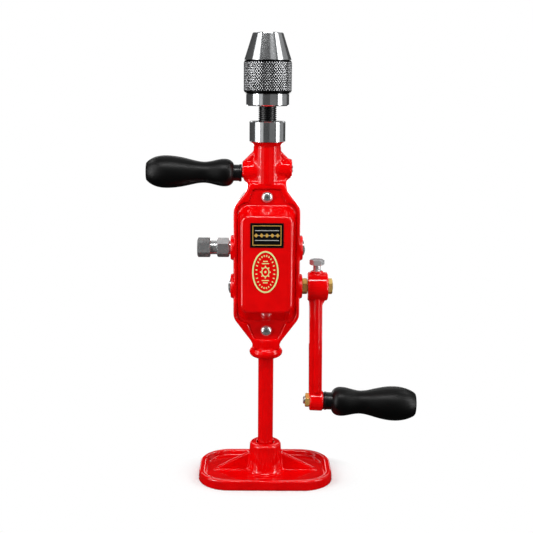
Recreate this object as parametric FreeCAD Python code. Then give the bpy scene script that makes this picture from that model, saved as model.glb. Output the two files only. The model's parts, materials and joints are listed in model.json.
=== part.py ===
import FreeCAD, Part
import math
import os

from FreeCAD import Vector

# Two-speed breast drill, standing on its breast plate with the chuck up.
# Millimetres, +Z up along the drill's axis, +X to the crank side, -Y to the front cover.
# The origin is the middle of the breast plate's underside.

# Clearances
RUN = 0.05            # radial clearance of a running fit
SEAT = 0.02           # clearance of pieces that are fastened together
FACE_GAP = 0.3        # axial gap between faces that turn past each other
OVERRUN = 5.0         # how far a cutting tool runs past what it cuts

# Breast plate
PLATE_LENGTH = 137.0
PLATE_DEPTH = 88.0
PLATE_HEIGHT = 10.0
PLATE_CORNER = 32.0
PLATE_DRAFT = 0.8
PLATE_RIM = 6.5
PLATE_RIM_SLOPE = 1.6
PLATE_FLOOR = 5.0
PLATE_EDGE_ROUND = 2.0
PLATE_BOSS_HEIGHT = 35.6
PLATE_BOSS_TOP_RADIUS = 16.0
PLATE_BOSS_FOOT_RADIUS = 17.4
PLATE_BOSS_ROUND = 2.8
PLATE_FOOT_COVE = 5.0
PLATE_MOUTH_RADIUS = 8.9
PLATE_MOUTH_DEPTH = 5.0
WEB_THICKNESS = 5.6
WEB_HEIGHT = 17.5
WEB_REACH = 53.5
PLATE_SHELF = 14.5
PLATE_BORE_FLOOR = 6.5

# Rod
ROD_RADIUS = 7.75
ROD_JOURNAL_RADIUS = 6.0
ROD_SPIGOT_RADIUS = 6.5
ROD_SPIGOT_LENGTH = 25.5
ROD_PIN_RADIUS = 2.0
THRUST_WASHER = 1.5
KEEPER_PIN_RADIUS = 2.0
KEEPER_PIN_HEIGHT = 23.5
KEEPER_GROOVE = 5.0   # radius at the bottom of the rod's groove
KEEPER_PIN_OFFSET = KEEPER_GROOVE + KEEPER_PIN_RADIUS + 0.15
KEEPER_PIN_REACH = 14.6

# Gear train, whose shafts set the height of the casing's parts
CASING_BOTTOM = 126.4
CRANK_HEIGHT = CASING_BOTTOM + 73.6
MODULE = 1.5
FAST_CRANK_TEETH = 30
FAST_LAY_TEETH = 22
SLOW_CRANK_TEETH = 24
SLOW_LAY_TEETH = 28
CENTRE_DISTANCE = MODULE * (FAST_CRANK_TEETH + FAST_LAY_TEETH) / 2
LAY_HEIGHT = CRANK_HEIGHT + CENTRE_DISTANCE
TIP_HEIGHT = 0.9      # addendum as a share of the module
ROOT_DEPTH = 1.25     # dedendum as a share of the module
PRESSURE_ANGLE = 20.0
BACKLASH = 0.20
FAST_GEAR_START = 11.2
FAST_GEAR_WIDTH = 4.2
SPACER_WIDTH = 2.8
SLOW_GEAR_WIDTH = 4.2
FAST_GEAR_END = FAST_GEAR_START + FAST_GEAR_WIDTH
SLOW_GEAR_START = FAST_GEAR_END + SPACER_WIDTH
SLOW_GEAR_END = SLOW_GEAR_START + SLOW_GEAR_WIDTH
GEAR_SIDE_GAP = 0.1
BEVEL_MODULE = 1.75
WHEEL_TEETH = 24
PINION_TEETH = 12
BEVEL_FACE = 7.0
BEVEL_BACKLASH = 0.30
WHEEL_BACK = 15.5
WHEEL_HUB_RADIUS = 11.0
WHEEL_HUB_END = WHEEL_BACK + 6.0
PINION_TOP = LAY_HEIGHT + 25.5
CRANK_JOURNAL = 5.0
CRANK_SEAT_RADIUS = 7.0
CRANK_THREAD = 4.0
LAY_JOURNAL = 5.5
LAY_SEAT_RADIUS = 6.5
LAY_BORE = 3.2
KEY_WIDTH = 2.4
KEY_THICKNESS = 4.0
KEY_REACH = 8.6
KEY_CLEARANCE = 0.1
SHIFT_TRAVEL = 6.5
SHAFT_END_GAP = 0.5
SHIFT_ROD_RADIUS = 2.8
SHIFT_TIP_RADIUS = 1.5
SHIFT_TIP_HEAD = 2.5
SHIFT_TIP_LENGTH = 1.5
SPACER_OUTER = 11.5

# Gear casing
CASING_TOP = LAY_HEIGHT + 105.0
CASING_HALF_WIDTH = 32.9
CASING_BACK = 28.0
CASING_RIM = 12.6
CASING_SHOULDER_LOW = CRANK_HEIGHT - 30.8
CASING_SHOULDER_HIGH = LAY_HEIGHT + 41.0
CASING_WALL = 3.5
CASING_CORNER_BACK = 9.0
RIM_ROUND = 2.0
NECK_RADIUS = 13.4
NECK_FOOT = CASING_SHOULDER_HIGH + 14.0
NECK_STEP = CASING_SHOULDER_HIGH + 23.5
NECK_SHOULDER_DEPTH = 8.0
NECK_SHOULDER_RISE = 3.5
NECK_FOOT_HALF_WIDTH = 19.0
NECK_WAIST = CASING_TOP - 5.6
NECK_FLANGE_RADIUS = 16.9
NECK_FLANGE_EDGE = 1.0
TAIL_RADIUS = 13.9
TAIL_TOP = CRANK_HEIGHT - 53.5
TAIL_RING_RADIUS = 16.8
TAIL_RING_HEIGHT = CASING_BOTTOM + 5.9
HANDLE_HEIGHT = CASING_TOP - 30.7
HANDLE_TILT = 0.65    # degrees by which the side handle's end is raised
LEFT_BOSS_HEIGHT = HANDLE_HEIGHT + 1.9
LEFT_BOSS_RADIUS = 10.4
RIGHT_BOSS_HEIGHT = HANDLE_HEIGHT + 4.1
RIGHT_BOSS_RADIUS = 10.0
HANDLE_BOSS_REACH = 24.3
HANDLE_BOSS_COVE = 7.0
HANDLE_WEB_THICKNESS = 10.0
HANDLE_WEB_TOP = HANDLE_HEIGHT + 22.1
HANDLE_WEB_END = 22.4
HANDLE_WEB_ROUND = 3.0
SHAFT_BOSS_RADIUS = 12.3
SHAFT_BOSS_REACH = CASING_HALF_WIDTH + 2.9
BUSH_END = SHAFT_BOSS_REACH - 2.6
SHAFT_BOSS_COVE = 2.2
SHAFT_BORE = 7.0
INNER_BOSS_FACE = 23.5
CHAMBER_BOTTOM = CRANK_HEIGHT - 27.0
CHAMBER_TOP = LAY_HEIGHT + 29.0
CHAMBER_CORNER = 5.0
MOUTH_HALF_WIDTH = CASING_HALF_WIDTH - 7.5
MOUTH_LIP = 4.0

# Front cover
COVER_SEAT = CASING_RIM - 4.0
GASKET = 0.3
FLANGE_THICKNESS = 1.9
FLANGE_HALF_WIDTH = CASING_HALF_WIDTH - 4.2
FLANGE_BOTTOM = CRANK_HEIGHT - 35.0
FLANGE_TOP = LAY_HEIGHT + 45.7
FLANGE_CORNER = 8.5
EAR_TOP = FLANGE_TOP + 13.5
EAR_TOP_HALF_WIDTH = 13.3
EAR_TOP_FOOT = 18.2
EAR_BOTTOM = FLANGE_BOTTOM - 16.9
EAR_BOTTOM_HALF_WIDTH = 11.4
EAR_BOTTOM_FOOT = 18.6
RECESS_CLEARANCE = 0.3
PANEL_FRONT = CASING_RIM + 14.7
PANEL_HALF_WIDTH = FLANGE_HALF_WIDTH - 3.5
PANEL_BOTTOM = FLANGE_BOTTOM + 14.3
PANEL_TOP = FLANGE_TOP - 10.9
PANEL_CORNER = 8.0
PANEL_FOOT_HALF_WIDTH = FLANGE_HALF_WIDTH - 1.1
PANEL_FOOT_BOTTOM = FLANGE_BOTTOM + 2.0
PANEL_FOOT_TOP = FLANGE_TOP - 2.5
PANEL_FOOT_CORNER = 10.0
PANEL_ROUND = 3.0
PANEL_WALL = 2.3
SCREW_TOP_HEIGHT = FLANGE_TOP + 6.0
SCREW_BOTTOM_HEIGHT = FLANGE_BOTTOM - 8.4
SCREW_HEAD_RADIUS = 5.3
SCREW_HEAD_HEIGHT = 3.4
SCREW_RADIUS = 2.5
SCREW_BITE = 2.3      # thread in the casting, short of the spindle
SCREW_HOLE = 4.5
CROSS_WIDTH = 1.1
CROSS_REACH = 2.4
CROSS_DEPTH = 1.8
PLATE_LABEL_WIDTH = 32.4
PLATE_LABEL_HEIGHT = 24.2
PLATE_LABEL_CENTRE = PANEL_TOP - 18.2
LABEL_THICKNESS = 0.4
OVAL_HALF_WIDTH = 12.9
OVAL_HALF_HEIGHT = 20.8
OVAL_CENTRE = PANEL_BOTTOM + 40.3
OVAL_SHIFT = -1.3
OVAL_LINE = 1.5

# Plugs, gland and knob on the shaft bosses
PLUG_RADIUS = 7.35
PLUG_DOME = 2.4
PLUG_SPIGOT = 2.4
SLOT_WIDTH = 1.4
SLOT_DEPTH = 1.2
GLAND_START = SHAFT_BOSS_REACH + 1.2
GLAND_END = GLAND_START + 12.2
GLAND_FLATS = 17.0
KNOB_NECK_RADIUS = 6.9
KNOB_HEX_START = GLAND_END + SHIFT_TRAVEL
KNOB_HEX_END = KNOB_HEX_START + 13.1
KNOB_FLATS = 17.0
KNOB_TURN = 8.0       # degrees by which the knob stands turned from the gland
CRANK_BUSH_END = SHAFT_BOSS_REACH + 5.2
BRASS_FLATS = 14.1

# Spindle and thrust bearing
SPINDLE_RADIUS = 6.5
SPINDLE_LOWER_RADIUS = 5.0
SPINDLE_STEP = CASING_TOP - 32.0
SPINDLE_TIP_RADIUS = 4.0
SPINDLE_TIP_START = LAY_HEIGHT + 11.5
SPINDLE_THREAD_RADIUS = 8.7
SPINDLE_THREAD_DEPTH = 0.9
SPINDLE_THREAD_PITCH = 2.0
SPINDLE_MIDDLE_RADIUS = 7.4
UPPER_BUSH_OUTER = 9.5
LOWER_BUSH_OUTER = 7.0
SPINDLE_BORE = 5.6
LOWER_BUSH_TOP = CHAMBER_TOP + 16.0
UPPER_BUSH_BOTTOM = CASING_TOP - 18.0
UPPER_BORE_BOTTOM = CASING_TOP - 33.5
COLLAR_RADIUS = 17.5
COLLAR_TOP = CASING_TOP + 19.7
COLLAR_CHAMFER = 0.8
COLLAR_POCKET_RADIUS = 14.8
RACE_OUTER = 14.2
RACE_INNER = 7.7
RACE_THICKNESS = 2.0
BALL_RADIUS = 2.25
BALL_COUNT = 12
BALL_CIRCLE = 10.9
BALL_PLAY = 0.02
CAGE_THICKNESS = 1.6

# Chuck
CHUCK_BOTTOM = COLLAR_TOP + 14.6
REAR_COLLAR_RADIUS = 20.8
REAR_COLLAR_TOP = CHUCK_BOTTOM + 11.2
REAR_SPIGOT = 16.0
SLEEVE_BOTTOM = REAR_COLLAR_TOP + FACE_GAP
SLEEVE_TOP = SLEEVE_BOTTOM + 31.7
CHUCK_TOP = SLEEVE_TOP + 25.7
SPINDLE_TOP = CHUCK_BOTTOM + 19.2
SLEEVE_RADIUS = 23.35
SLEEVE_CHAMFER_TOP = 1.0
SLEEVE_CHAMFER_BOTTOM = 1.8
SLEEVE_BORE = 20.0
CONE_BASE_RADIUS = 22.7
CONE_TOP_RADIUS = 14.8
CONE_EDGE = 0.9
SHANK_BORE = 6.6
SHANK_BORE_BOTTOM = SPINDLE_TOP + 3.0
JAW_ANGLE = 15.0
JAW_FIRST_TURN = 90.0   # degrees round Z of the jaw at the back
JAW_TURNS = [JAW_FIRST_TURN + 120 * jaw for jaw in range(3)]
JAW_RADIUS = 4.5
JAW_CLEARANCE = 0.06
JAW_TIP_HEIGHT = CHUCK_TOP - 17.2
JAW_TAIL_HEIGHT = JAW_TIP_HEIGHT - 35.0
JAW_AXIS_AT_TIP = 8.4
JAW_OPEN = 6.75
JAW_TRAVEL = 21.5
JAW_TRIM = 19.3
NUT_TOP = SLEEVE_TOP - 1.5
NUT_BOTTOM = NUT_TOP - 7.0
NUT_GROOVE = 15.6

# Crank
CRANK_RADIUS = 120.0
ARM_LEAN = 0.7        # degrees by which the arm leans outward
PIN_DROOP = 2.1       # degrees by which the handle's pin droops
HUB_START = CRANK_BUSH_END + 0.2
HUB_END = HUB_START + 20.4
HUB_RADIUS = 14.5
HUB_ROUND = 2.0
ARM_START = HUB_START + 1.8
ARM_WIDTH = 13.0
ARM_HALF_DEPTH_TOP = 8.5
ARM_HALF_DEPTH_END = 7.0
ARM_EDGE_ROUND = 1.6
RIB_WIDTH = 4.2
RIB_HEIGHT = 1.4
RIB_OFFSET = 7.5
GUSSET_DROP = 18.5
EYE_RADIUS = 10.5
EYE_BORE = 5.0
EYE_HALF_LENGTH = 6.7
EYE_SHIFT = 0.9       # the eye's middle beyond the arm's
PIN_SPOT_RADIUS = 8.3
LOCK_BOSS_RADIUS = 6.3
LOCK_BOSS_RISE = 1.3
LOCK_SCREW_OFFSET = 7.4
LOCK_SCREW_RADIUS = 3.7
LOCK_HEAD_FLATS = 13.0
LOCK_HEAD_BOTTOM = 21.9
LOCK_HEAD_TOP = 27.3
END_NUT = 4.5

# Grips
PIN_RADIUS = 4.0
PIN_NUT = 4.6
PIN_END = 1.9
PIN_WASHER = 1.0
PIN_WASHER_RADIUS = 9.0
GRIP_BORE = 4.1
FERRULE_LENGTH = 8.0
FERRULE_WALL = 1.2
CRANK_FERRULE_RADIUS = 9.4
CRANK_GRIP_LENGTH = 85.8
CRANK_BALL = 14.85
CRANK_BALL_AT = 9.5
CRANK_WAIST = 11.85
CRANK_WAIST_AT = 28.5
CRANK_BELLY = 17.45
CRANK_BELLY_AT = 60.3
CRANK_END = 10.8
SIDE_FERRULE_RADIUS = 8.5
SIDE_GRIP_LENGTH = 85.6
SIDE_BALL = 13.5
SIDE_BALL_AT = 9.6
SIDE_WAIST = 10.35
SIDE_WAIST_AT = 27.7
SIDE_BELLY = 15.8
SIDE_BELLY_AT = 61.7
SIDE_END = 8.5
SIDE_STUD_RADIUS = 4.8
SIDE_STUD_DEPTH = 9.5
PIN_HEAD_RADIUS = 6.0
PIN_HEAD_DEPTH = 3.0
BOSS_PLUG_RADIUS = 3.6

ORIGIN = Vector(0, 0, 0)
X_AXIS = Vector(1, 0, 0)
Y_AXIS = Vector(0, 1, 0)
Z_AXIS = Vector(0, 0, 1)


# Basic shapes, made about the Z axis

def bar(radius, low, high):
    return Part.makeCylinder(radius, high - low, Vector(0, 0, low))


def tube(outer, inner, low, high):
    return bar(outer, low, high).cut(bar(inner, low - OVERRUN, high + OVERRUN))


def block(low, high):
    size = high - low
    return Part.makeBox(size.x, size.y, size.z, low)


def turned(points):
    """Solid turned about Z from (radius, height) corners."""
    corners = [Vector(radius, 0, height) for radius, height in points]
    profile = Part.Face(Part.makePolygon(corners + corners[:1]))
    return profile.revolve(ORIGIN, Z_AXIS, 360)


def turned_edges(edges):
    """Solid turned about Z from a closed row of edges in the XZ plane."""
    return Part.Face(Part.Wire(edges)).revolve(ORIGIN, Z_AXIS, 360)


def line(start, end):
    return Part.LineSegment(start, end).toShape()


def arc(start, middle, end):
    return Part.Arc(start, middle, end).toShape()


def hexagon(flats, low, high, chamfered_low=True, chamfered_high=True):
    """Hexagon bar with its corners turned off at 30 degrees."""
    corner = flats / math.sqrt(3)
    points = []
    for step in range(7):
        angle = math.radians(60 * step)
        points.append(Vector(corner * math.cos(angle), corner * math.sin(angle), low))
    prism = Part.Face(Part.makePolygon(points)).extrude(Vector(0, 0, high - low))
    face_radius = flats / 2 * 0.97
    drop = (corner - face_radius) * math.tan(math.radians(30))
    outline = [(0, low)]
    outline += [(face_radius, low), (corner, low + drop)] if chamfered_low else [(corner, low)]
    outline += [(corner, high - drop), (face_radius, high)] if chamfered_high else [(corner, high)]
    outline.append((0, high))
    return prism.common(turned(outline))


def rounded(corners, radii):
    """Closed wire through coplanar corners, each rounded by its own radius."""
    count = len(corners)
    starts, middles, ends = [], [], []
    for index, corner in enumerate(corners):
        back = corners[index - 1] - corner
        ahead = corners[(index + 1) % count] - corner
        back.normalize()
        ahead.normalize()
        half = back.getAngle(ahead) / 2
        radius = radii[index]
        inward = back + ahead
        inward.normalize()
        starts.append(corner + back * (radius / math.tan(half)))
        ends.append(corner + ahead * (radius / math.tan(half)))
        middles.append(corner + inward * (radius / math.sin(half) - radius))
    edges = []
    for index in range(count):
        if radii[index] > 0:
            edges.append(arc(starts[index], middles[index], ends[index]))
        edges.append(line(ends[index], starts[(index + 1) % count]))
    return Part.Wire(edges)


def mirrored_outline(half, radii):
    """Outline in the XZ plane, from the (x, z) corners and radii of its right half."""
    corners = [Vector(x, 0, z) for x, z in half]
    corners += [Vector(-x, 0, z) for x, z in reversed(half)]
    return rounded(corners, radii + radii[::-1])


def front_prism(wire, front, back):
    """Push an outline in the XZ plane along Y, from -front to +back."""
    face = Part.Face(wire)
    face.translate(Vector(0, -front, 0))
    return face.extrude(Vector(0, front + back, 0))


def frame_outline(half_width, bottom, top, corner):
    return mirrored_outline([(half_width, bottom), (half_width, top)], [corner, corner])


def sideways(shape, height, toward=1):
    """Lay a shape made along +Z along +X (toward 1) or -X (toward -1) at a height."""
    laid = shape.copy()
    laid.rotate(ORIGIN, Y_AXIS, 90 * toward)
    laid.translate(Vector(0, 0, height))
    return laid


def forward(shape, height):
    """Lay a shape made along +Z along -Y, to the front, at a height."""
    laid = shape.copy()
    laid.rotate(ORIGIN, X_AXIS, 90)
    laid.translate(Vector(0, 0, height))
    return laid


# Gears

def involute(angle):
    return math.tan(angle) - angle


def half_tooth(radius, pitch_radius, teeth, backlash):
    """Half the angle of an involute tooth at a radius."""
    pressure = math.radians(PRESSURE_ANGLE)
    base = pitch_radius * math.cos(pressure)
    turn = math.acos(min(1.0, base / radius))
    at_pitch = math.pi / (2 * teeth) - backlash / (2 * pitch_radius)
    return at_pitch + involute(pressure) - involute(turn)


def spur_gear(teeth, low, high, first_tooth):
    """Spur gear about Z with one tooth at an angle in radians."""
    pitch_radius = MODULE * teeth / 2
    root = pitch_radius - ROOT_DEPTH * MODULE
    tip = pitch_radius + TIP_HEIGHT * MODULE
    levels = [root, pitch_radius - 0.5 * MODULE, pitch_radius, pitch_radius + 0.5 * MODULE, tip]
    points = []
    for tooth in range(teeth):
        middle = first_tooth + 2 * math.pi * tooth / teeth
        rising = [(level, middle - half_tooth(level, pitch_radius, teeth, BACKLASH)) for level in levels]
        falling = [(level, 2 * middle - angle) for level, angle in reversed(rising)]
        for level, angle in rising + falling:
            points.append(Vector(level * math.cos(angle), level * math.sin(angle), low))
    return Part.Face(Part.makePolygon(points + points[:1])).extrude(Vector(0, 0, high - low))


def bevel_gear(teeth, mate_teeth, back_end, hub_radius, hub_end, first_tooth):
    """Straight bevel gear about Z, its cones' common tip at the origin, its small end nearest."""
    pitch_radius = BEVEL_MODULE * teeth / 2
    cone_angle = math.atan(teeth / mate_teeth)
    cone_length = pitch_radius / math.sin(cone_angle)
    small = (cone_length - BEVEL_FACE) / cone_length
    along = Vector(math.sin(cone_angle), 0, math.cos(cone_angle))
    outward = Vector(math.cos(cone_angle), 0, -math.sin(cone_angle))
    addendum = TIP_HEIGHT * BEVEL_MODULE
    dedendum = ROOT_DEPTH * BEVEL_MODULE
    virtual_teeth = teeth / math.cos(cone_angle)
    virtual_radius = pitch_radius / math.cos(cone_angle)
    plane = cone_length * math.cos(cone_angle)
    heights = [-dedendum, -0.5 * addendum, 0, 0.5 * addendum, addendum]
    flank = []
    for height in heights:
        level = virtual_radius + height
        half = half_tooth(level, virtual_radius, virtual_teeth, BEVEL_BACKLASH) * level
        distance = pitch_radius + height * math.cos(cone_angle)
        radius = plane * math.tan(cone_angle + math.atan(height / cone_length))
        flank.append((radius, half / distance))
    points = []
    for tooth in range(teeth):
        middle = first_tooth + 2 * math.pi * tooth / teeth
        rising = [(radius, middle - half) for radius, half in flank]
        falling = [(radius, middle + half) for radius, half in reversed(flank)]
        for radius, angle in rising + falling:
            points.append(Vector(radius * math.cos(angle), radius * math.sin(angle), plane))
    near, far = small * 0.6, 1.5
    rings = [Part.makePolygon([point * scale for point in points + points[:1]]) for scale in (near, far)]
    star = Part.makeLoft(rings, True, True)
    outer = along * cone_length
    inner = along * (cone_length * small)
    corners = [
        inner + outward * (addendum * small),
        outer + outward * addendum,
        outer - outward * dedendum,
        inner - outward * (dedendum * small),
    ]
    toothed = star.common(turned([(corner.x, corner.z) for corner in corners]))
    root_small = corners[3]
    root_large = corners[2]
    core = turned([
        (0, root_small.z), (root_small.x, root_small.z), (root_large.x, root_large.z),
        (root_large.x, back_end), (hub_radius, back_end), (hub_radius, hub_end), (0, hub_end),
    ])
    return toothed.fuse(core)


# Breast plate and rod

def plate_corners(inset, height):
    half_length = PLATE_LENGTH / 2 - inset
    half_depth = PLATE_DEPTH / 2 - inset
    corners = [
        Vector(half_length, -half_depth, height), Vector(half_length, half_depth, height),
        Vector(-half_length, half_depth, height), Vector(-half_length, -half_depth, height),
    ]
    return rounded(corners, [PLATE_CORNER - inset] * 4)


def edges_at_height(shape, height):
    """Edges that lie wholly at a height."""
    found = []
    for edge in shape.Edges:
        box = edge.BoundBox
        if abs(box.ZMin - height) < 0.01 and abs(box.ZMax - height) < 0.01:
            found.append(edge)
    return found


def breast_plate():
    tray = Part.makeLoft([plate_corners(0, 0), plate_corners(PLATE_DRAFT, PLATE_HEIGHT)], True, True)
    floor = plate_corners(PLATE_RIM + PLATE_RIM_SLOPE, PLATE_FLOOR)
    mouth = plate_corners(PLATE_RIM - PLATE_DRAFT, PLATE_HEIGHT)
    tray = tray.cut(Part.makeLoft([floor, mouth], True, True))
    tray = tray.makeFillet(PLATE_EDGE_ROUND, edges_at_height(tray, PLATE_HEIGHT))
    cove = PLATE_FOOT_COVE
    foot = PLATE_FLOOR
    start = Vector(PLATE_BOSS_FOOT_RADIUS + cove, 0, foot)
    end = Vector(PLATE_BOSS_FOOT_RADIUS, 0, foot + cove)
    bend = Vector(start.x - cove * math.sin(math.radians(45)), 0, end.z - cove * math.cos(math.radians(45)))
    shoulder = Vector(PLATE_BOSS_TOP_RADIUS, 0, PLATE_BOSS_HEIGHT - PLATE_BOSS_ROUND)
    top = Vector(PLATE_BOSS_TOP_RADIUS - PLATE_BOSS_ROUND, 0, PLATE_BOSS_HEIGHT)
    turn = PLATE_BOSS_ROUND * (1 - math.sqrt(0.5))
    crown = Vector(PLATE_BOSS_TOP_RADIUS - turn, 0, PLATE_BOSS_HEIGHT - turn)
    below = PLATE_FLOOR / 2
    boss = turned_edges([
        arc(start, bend, end), line(end, shoulder), arc(shoulder, crown, top),
        line(top, Vector(0, 0, PLATE_BOSS_HEIGHT)), line(Vector(0, 0, PLATE_BOSS_HEIGHT), Vector(0, 0, below)),
        line(Vector(0, 0, below), Vector(start.x, 0, below)), line(Vector(start.x, 0, below), start),
    ])
    half = WEB_THICKNESS / 2
    ridge = [
        Vector(-WEB_REACH, -half, PLATE_FLOOR), Vector(0, -half, PLATE_FLOOR + WEB_HEIGHT * 1.55),
        Vector(WEB_REACH, -half, PLATE_FLOOR), Vector(WEB_REACH, -half, below), Vector(-WEB_REACH, -half, below),
    ]
    web = Part.Face(Part.makePolygon(ridge + ridge[:1])).extrude(Vector(0, WEB_THICKNESS, 0))
    plate = tray.fuse([boss, web]).removeSplitter()
    plate = plate.cut(bar(ROD_JOURNAL_RADIUS + RUN, PLATE_BORE_FLOOR, PLATE_BOSS_HEIGHT))
    plate = plate.cut(bar(ROD_RADIUS + RUN, PLATE_SHELF, PLATE_BOSS_HEIGHT + OVERRUN))
    plate = plate.cut(bar(PLATE_MOUTH_RADIUS, PLATE_BOSS_HEIGHT - PLATE_MOUTH_DEPTH, PLATE_BOSS_HEIGHT + OVERRUN))
    return plate.cut(keeper_pin(SEAT))


def back_rod():
    shoulder = PLATE_SHELF + THRUST_WASHER
    spigot_start = CASING_BOTTOM
    top = spigot_start + ROD_SPIGOT_LENGTH
    journal_end = PLATE_BORE_FLOOR + FACE_GAP
    groove_low = KEEPER_PIN_HEIGHT - KEEPER_PIN_RADIUS - 0.15
    groove_high = KEEPER_PIN_HEIGHT + KEEPER_PIN_RADIUS + 0.15
    body = turned([
        (0, journal_end), (ROD_JOURNAL_RADIUS, journal_end), (ROD_JOURNAL_RADIUS, shoulder),
        (ROD_RADIUS, shoulder), (ROD_RADIUS, groove_low), (KEEPER_GROOVE, groove_low),
        (KEEPER_GROOVE, groove_high), (ROD_RADIUS, groove_high), (ROD_RADIUS, spigot_start),
        (ROD_SPIGOT_RADIUS, spigot_start), (ROD_SPIGOT_RADIUS, top - 1), (ROD_SPIGOT_RADIUS - 1, top), (0, top),
    ])
    return body.cut(rod_pin(SEAT))


def rod_pin(extra):
    """Cross pin that holds the rod's spigot in the casing's tail, from the back."""
    height = TAIL_TOP - 7
    pin = Part.makeCylinder(ROD_PIN_RADIUS + extra, TAIL_RADIUS + ROD_SPIGOT_RADIUS - 1, ORIGIN, Y_AXIS)
    pin.translate(Vector(0, -ROD_SPIGOT_RADIUS, height))
    return pin


def thrust_washer():
    return tube(ROD_RADIUS - 0.1, ROD_JOURNAL_RADIUS + RUN, PLATE_SHELF, PLATE_SHELF + THRUST_WASHER)


def keeper_pin(extra):
    """Pin across the boss, behind the rod, that runs in the rod's groove and keeps it in."""
    pin = Part.makeCylinder(KEEPER_PIN_RADIUS + extra, 2 * KEEPER_PIN_REACH, ORIGIN, X_AXIS)
    pin.translate(Vector(-KEEPER_PIN_REACH, KEEPER_PIN_OFFSET, KEEPER_PIN_HEIGHT))
    return pin


# Gear casing

def casing_blank():
    blank_low = TAIL_TOP - 9.0
    blank_high = LEFT_BOSS_HEIGHT - 2.0
    front = mirrored_outline(
        [(TAIL_RADIUS - 0.9, blank_low), (TAIL_RADIUS, TAIL_TOP - 2.5), (CASING_HALF_WIDTH, CASING_SHOULDER_LOW),
         (CASING_HALF_WIDTH, CASING_SHOULDER_HIGH), (NECK_FOOT_HALF_WIDTH, CASING_SHOULDER_HIGH + 17.4),
         (NECK_FOOT_HALF_WIDTH, blank_high)],
        [0, 12.0, 14.0, 14.0, 14.0, 0])
    box = front_prism(front, CASING_RIM, CASING_BACK)
    depth = NECK_SHOULDER_DEPTH
    shoulder = NECK_STEP + NECK_SHOULDER_RISE
    slope = NECK_SHOULDER_RISE / (CASING_RIM - depth)
    side_corners = [
        Vector(0, CASING_BACK, CASING_SHOULDER_LOW + 2), Vector(0, CASING_BACK, CASING_SHOULDER_HIGH - 2),
        Vector(0, depth, shoulder), Vector(0, depth, blank_high + 3),
        Vector(0, -depth, blank_high + 3), Vector(0, -depth, shoulder),
        Vector(0, -CASING_RIM - 2, NECK_STEP - 2 * slope), Vector(0, -CASING_RIM - 2, blank_low - 2.5),
        Vector(0, TAIL_RADIUS - 0.6, blank_low - 2.5), Vector(0, TAIL_RADIUS - 0.6, TAIL_TOP - 1.5),
    ]
    side = rounded(side_corners, [10.0, 10.0, 8.0, 0, 0, 3.0, 0, 0, 0, 6.0])
    width = 2 * CASING_HALF_WIDTH + 2 * OVERRUN
    side_prism = Part.Face(side).extrude(Vector(width, 0, 0))
    side_prism.translate(Vector(-width / 2, 0, 0))
    plan_corners = [
        Vector(CASING_HALF_WIDTH, -CASING_RIM - 2, CASING_BOTTOM),
        Vector(CASING_HALF_WIDTH, CASING_BACK, CASING_BOTTOM),
        Vector(-CASING_HALF_WIDTH, CASING_BACK, CASING_BOTTOM),
        Vector(-CASING_HALF_WIDTH, -CASING_RIM - 2, CASING_BOTTOM),
    ]
    plan = rounded(plan_corners, [0, CASING_CORNER_BACK, CASING_CORNER_BACK, 0])
    plan_prism = Part.Face(plan).extrude(Vector(0, 0, CASING_TOP - CASING_BOTTOM))
    box = box.common(side_prism).common(plan_prism)
    rim_edges = [edge for edge in box.Edges if edge.BoundBox.YMax < -depth - 0.5]
    rim_edges = [edge for edge in rim_edges if blank_low + 0.5 < edge.CenterOfMass.z < blank_high - 1]
    return box.makeFillet(RIM_ROUND, rim_edges)


def handle_boss(radius):
    reach = HANDLE_BOSS_REACH
    return turned([(0, 0), (radius, 0), (radius, reach - 1), (radius - 1, reach), (0, reach)])


def edges_along_slope(shape):
    """Edges that run neither level nor upright in the XZ plane."""
    found = []
    for edge in shape.Edges:
        box = edge.BoundBox
        if box.XLength > 1 and box.ZLength > 1 and box.YLength < 0.01:
            found.append(edge)
    return found


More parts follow.
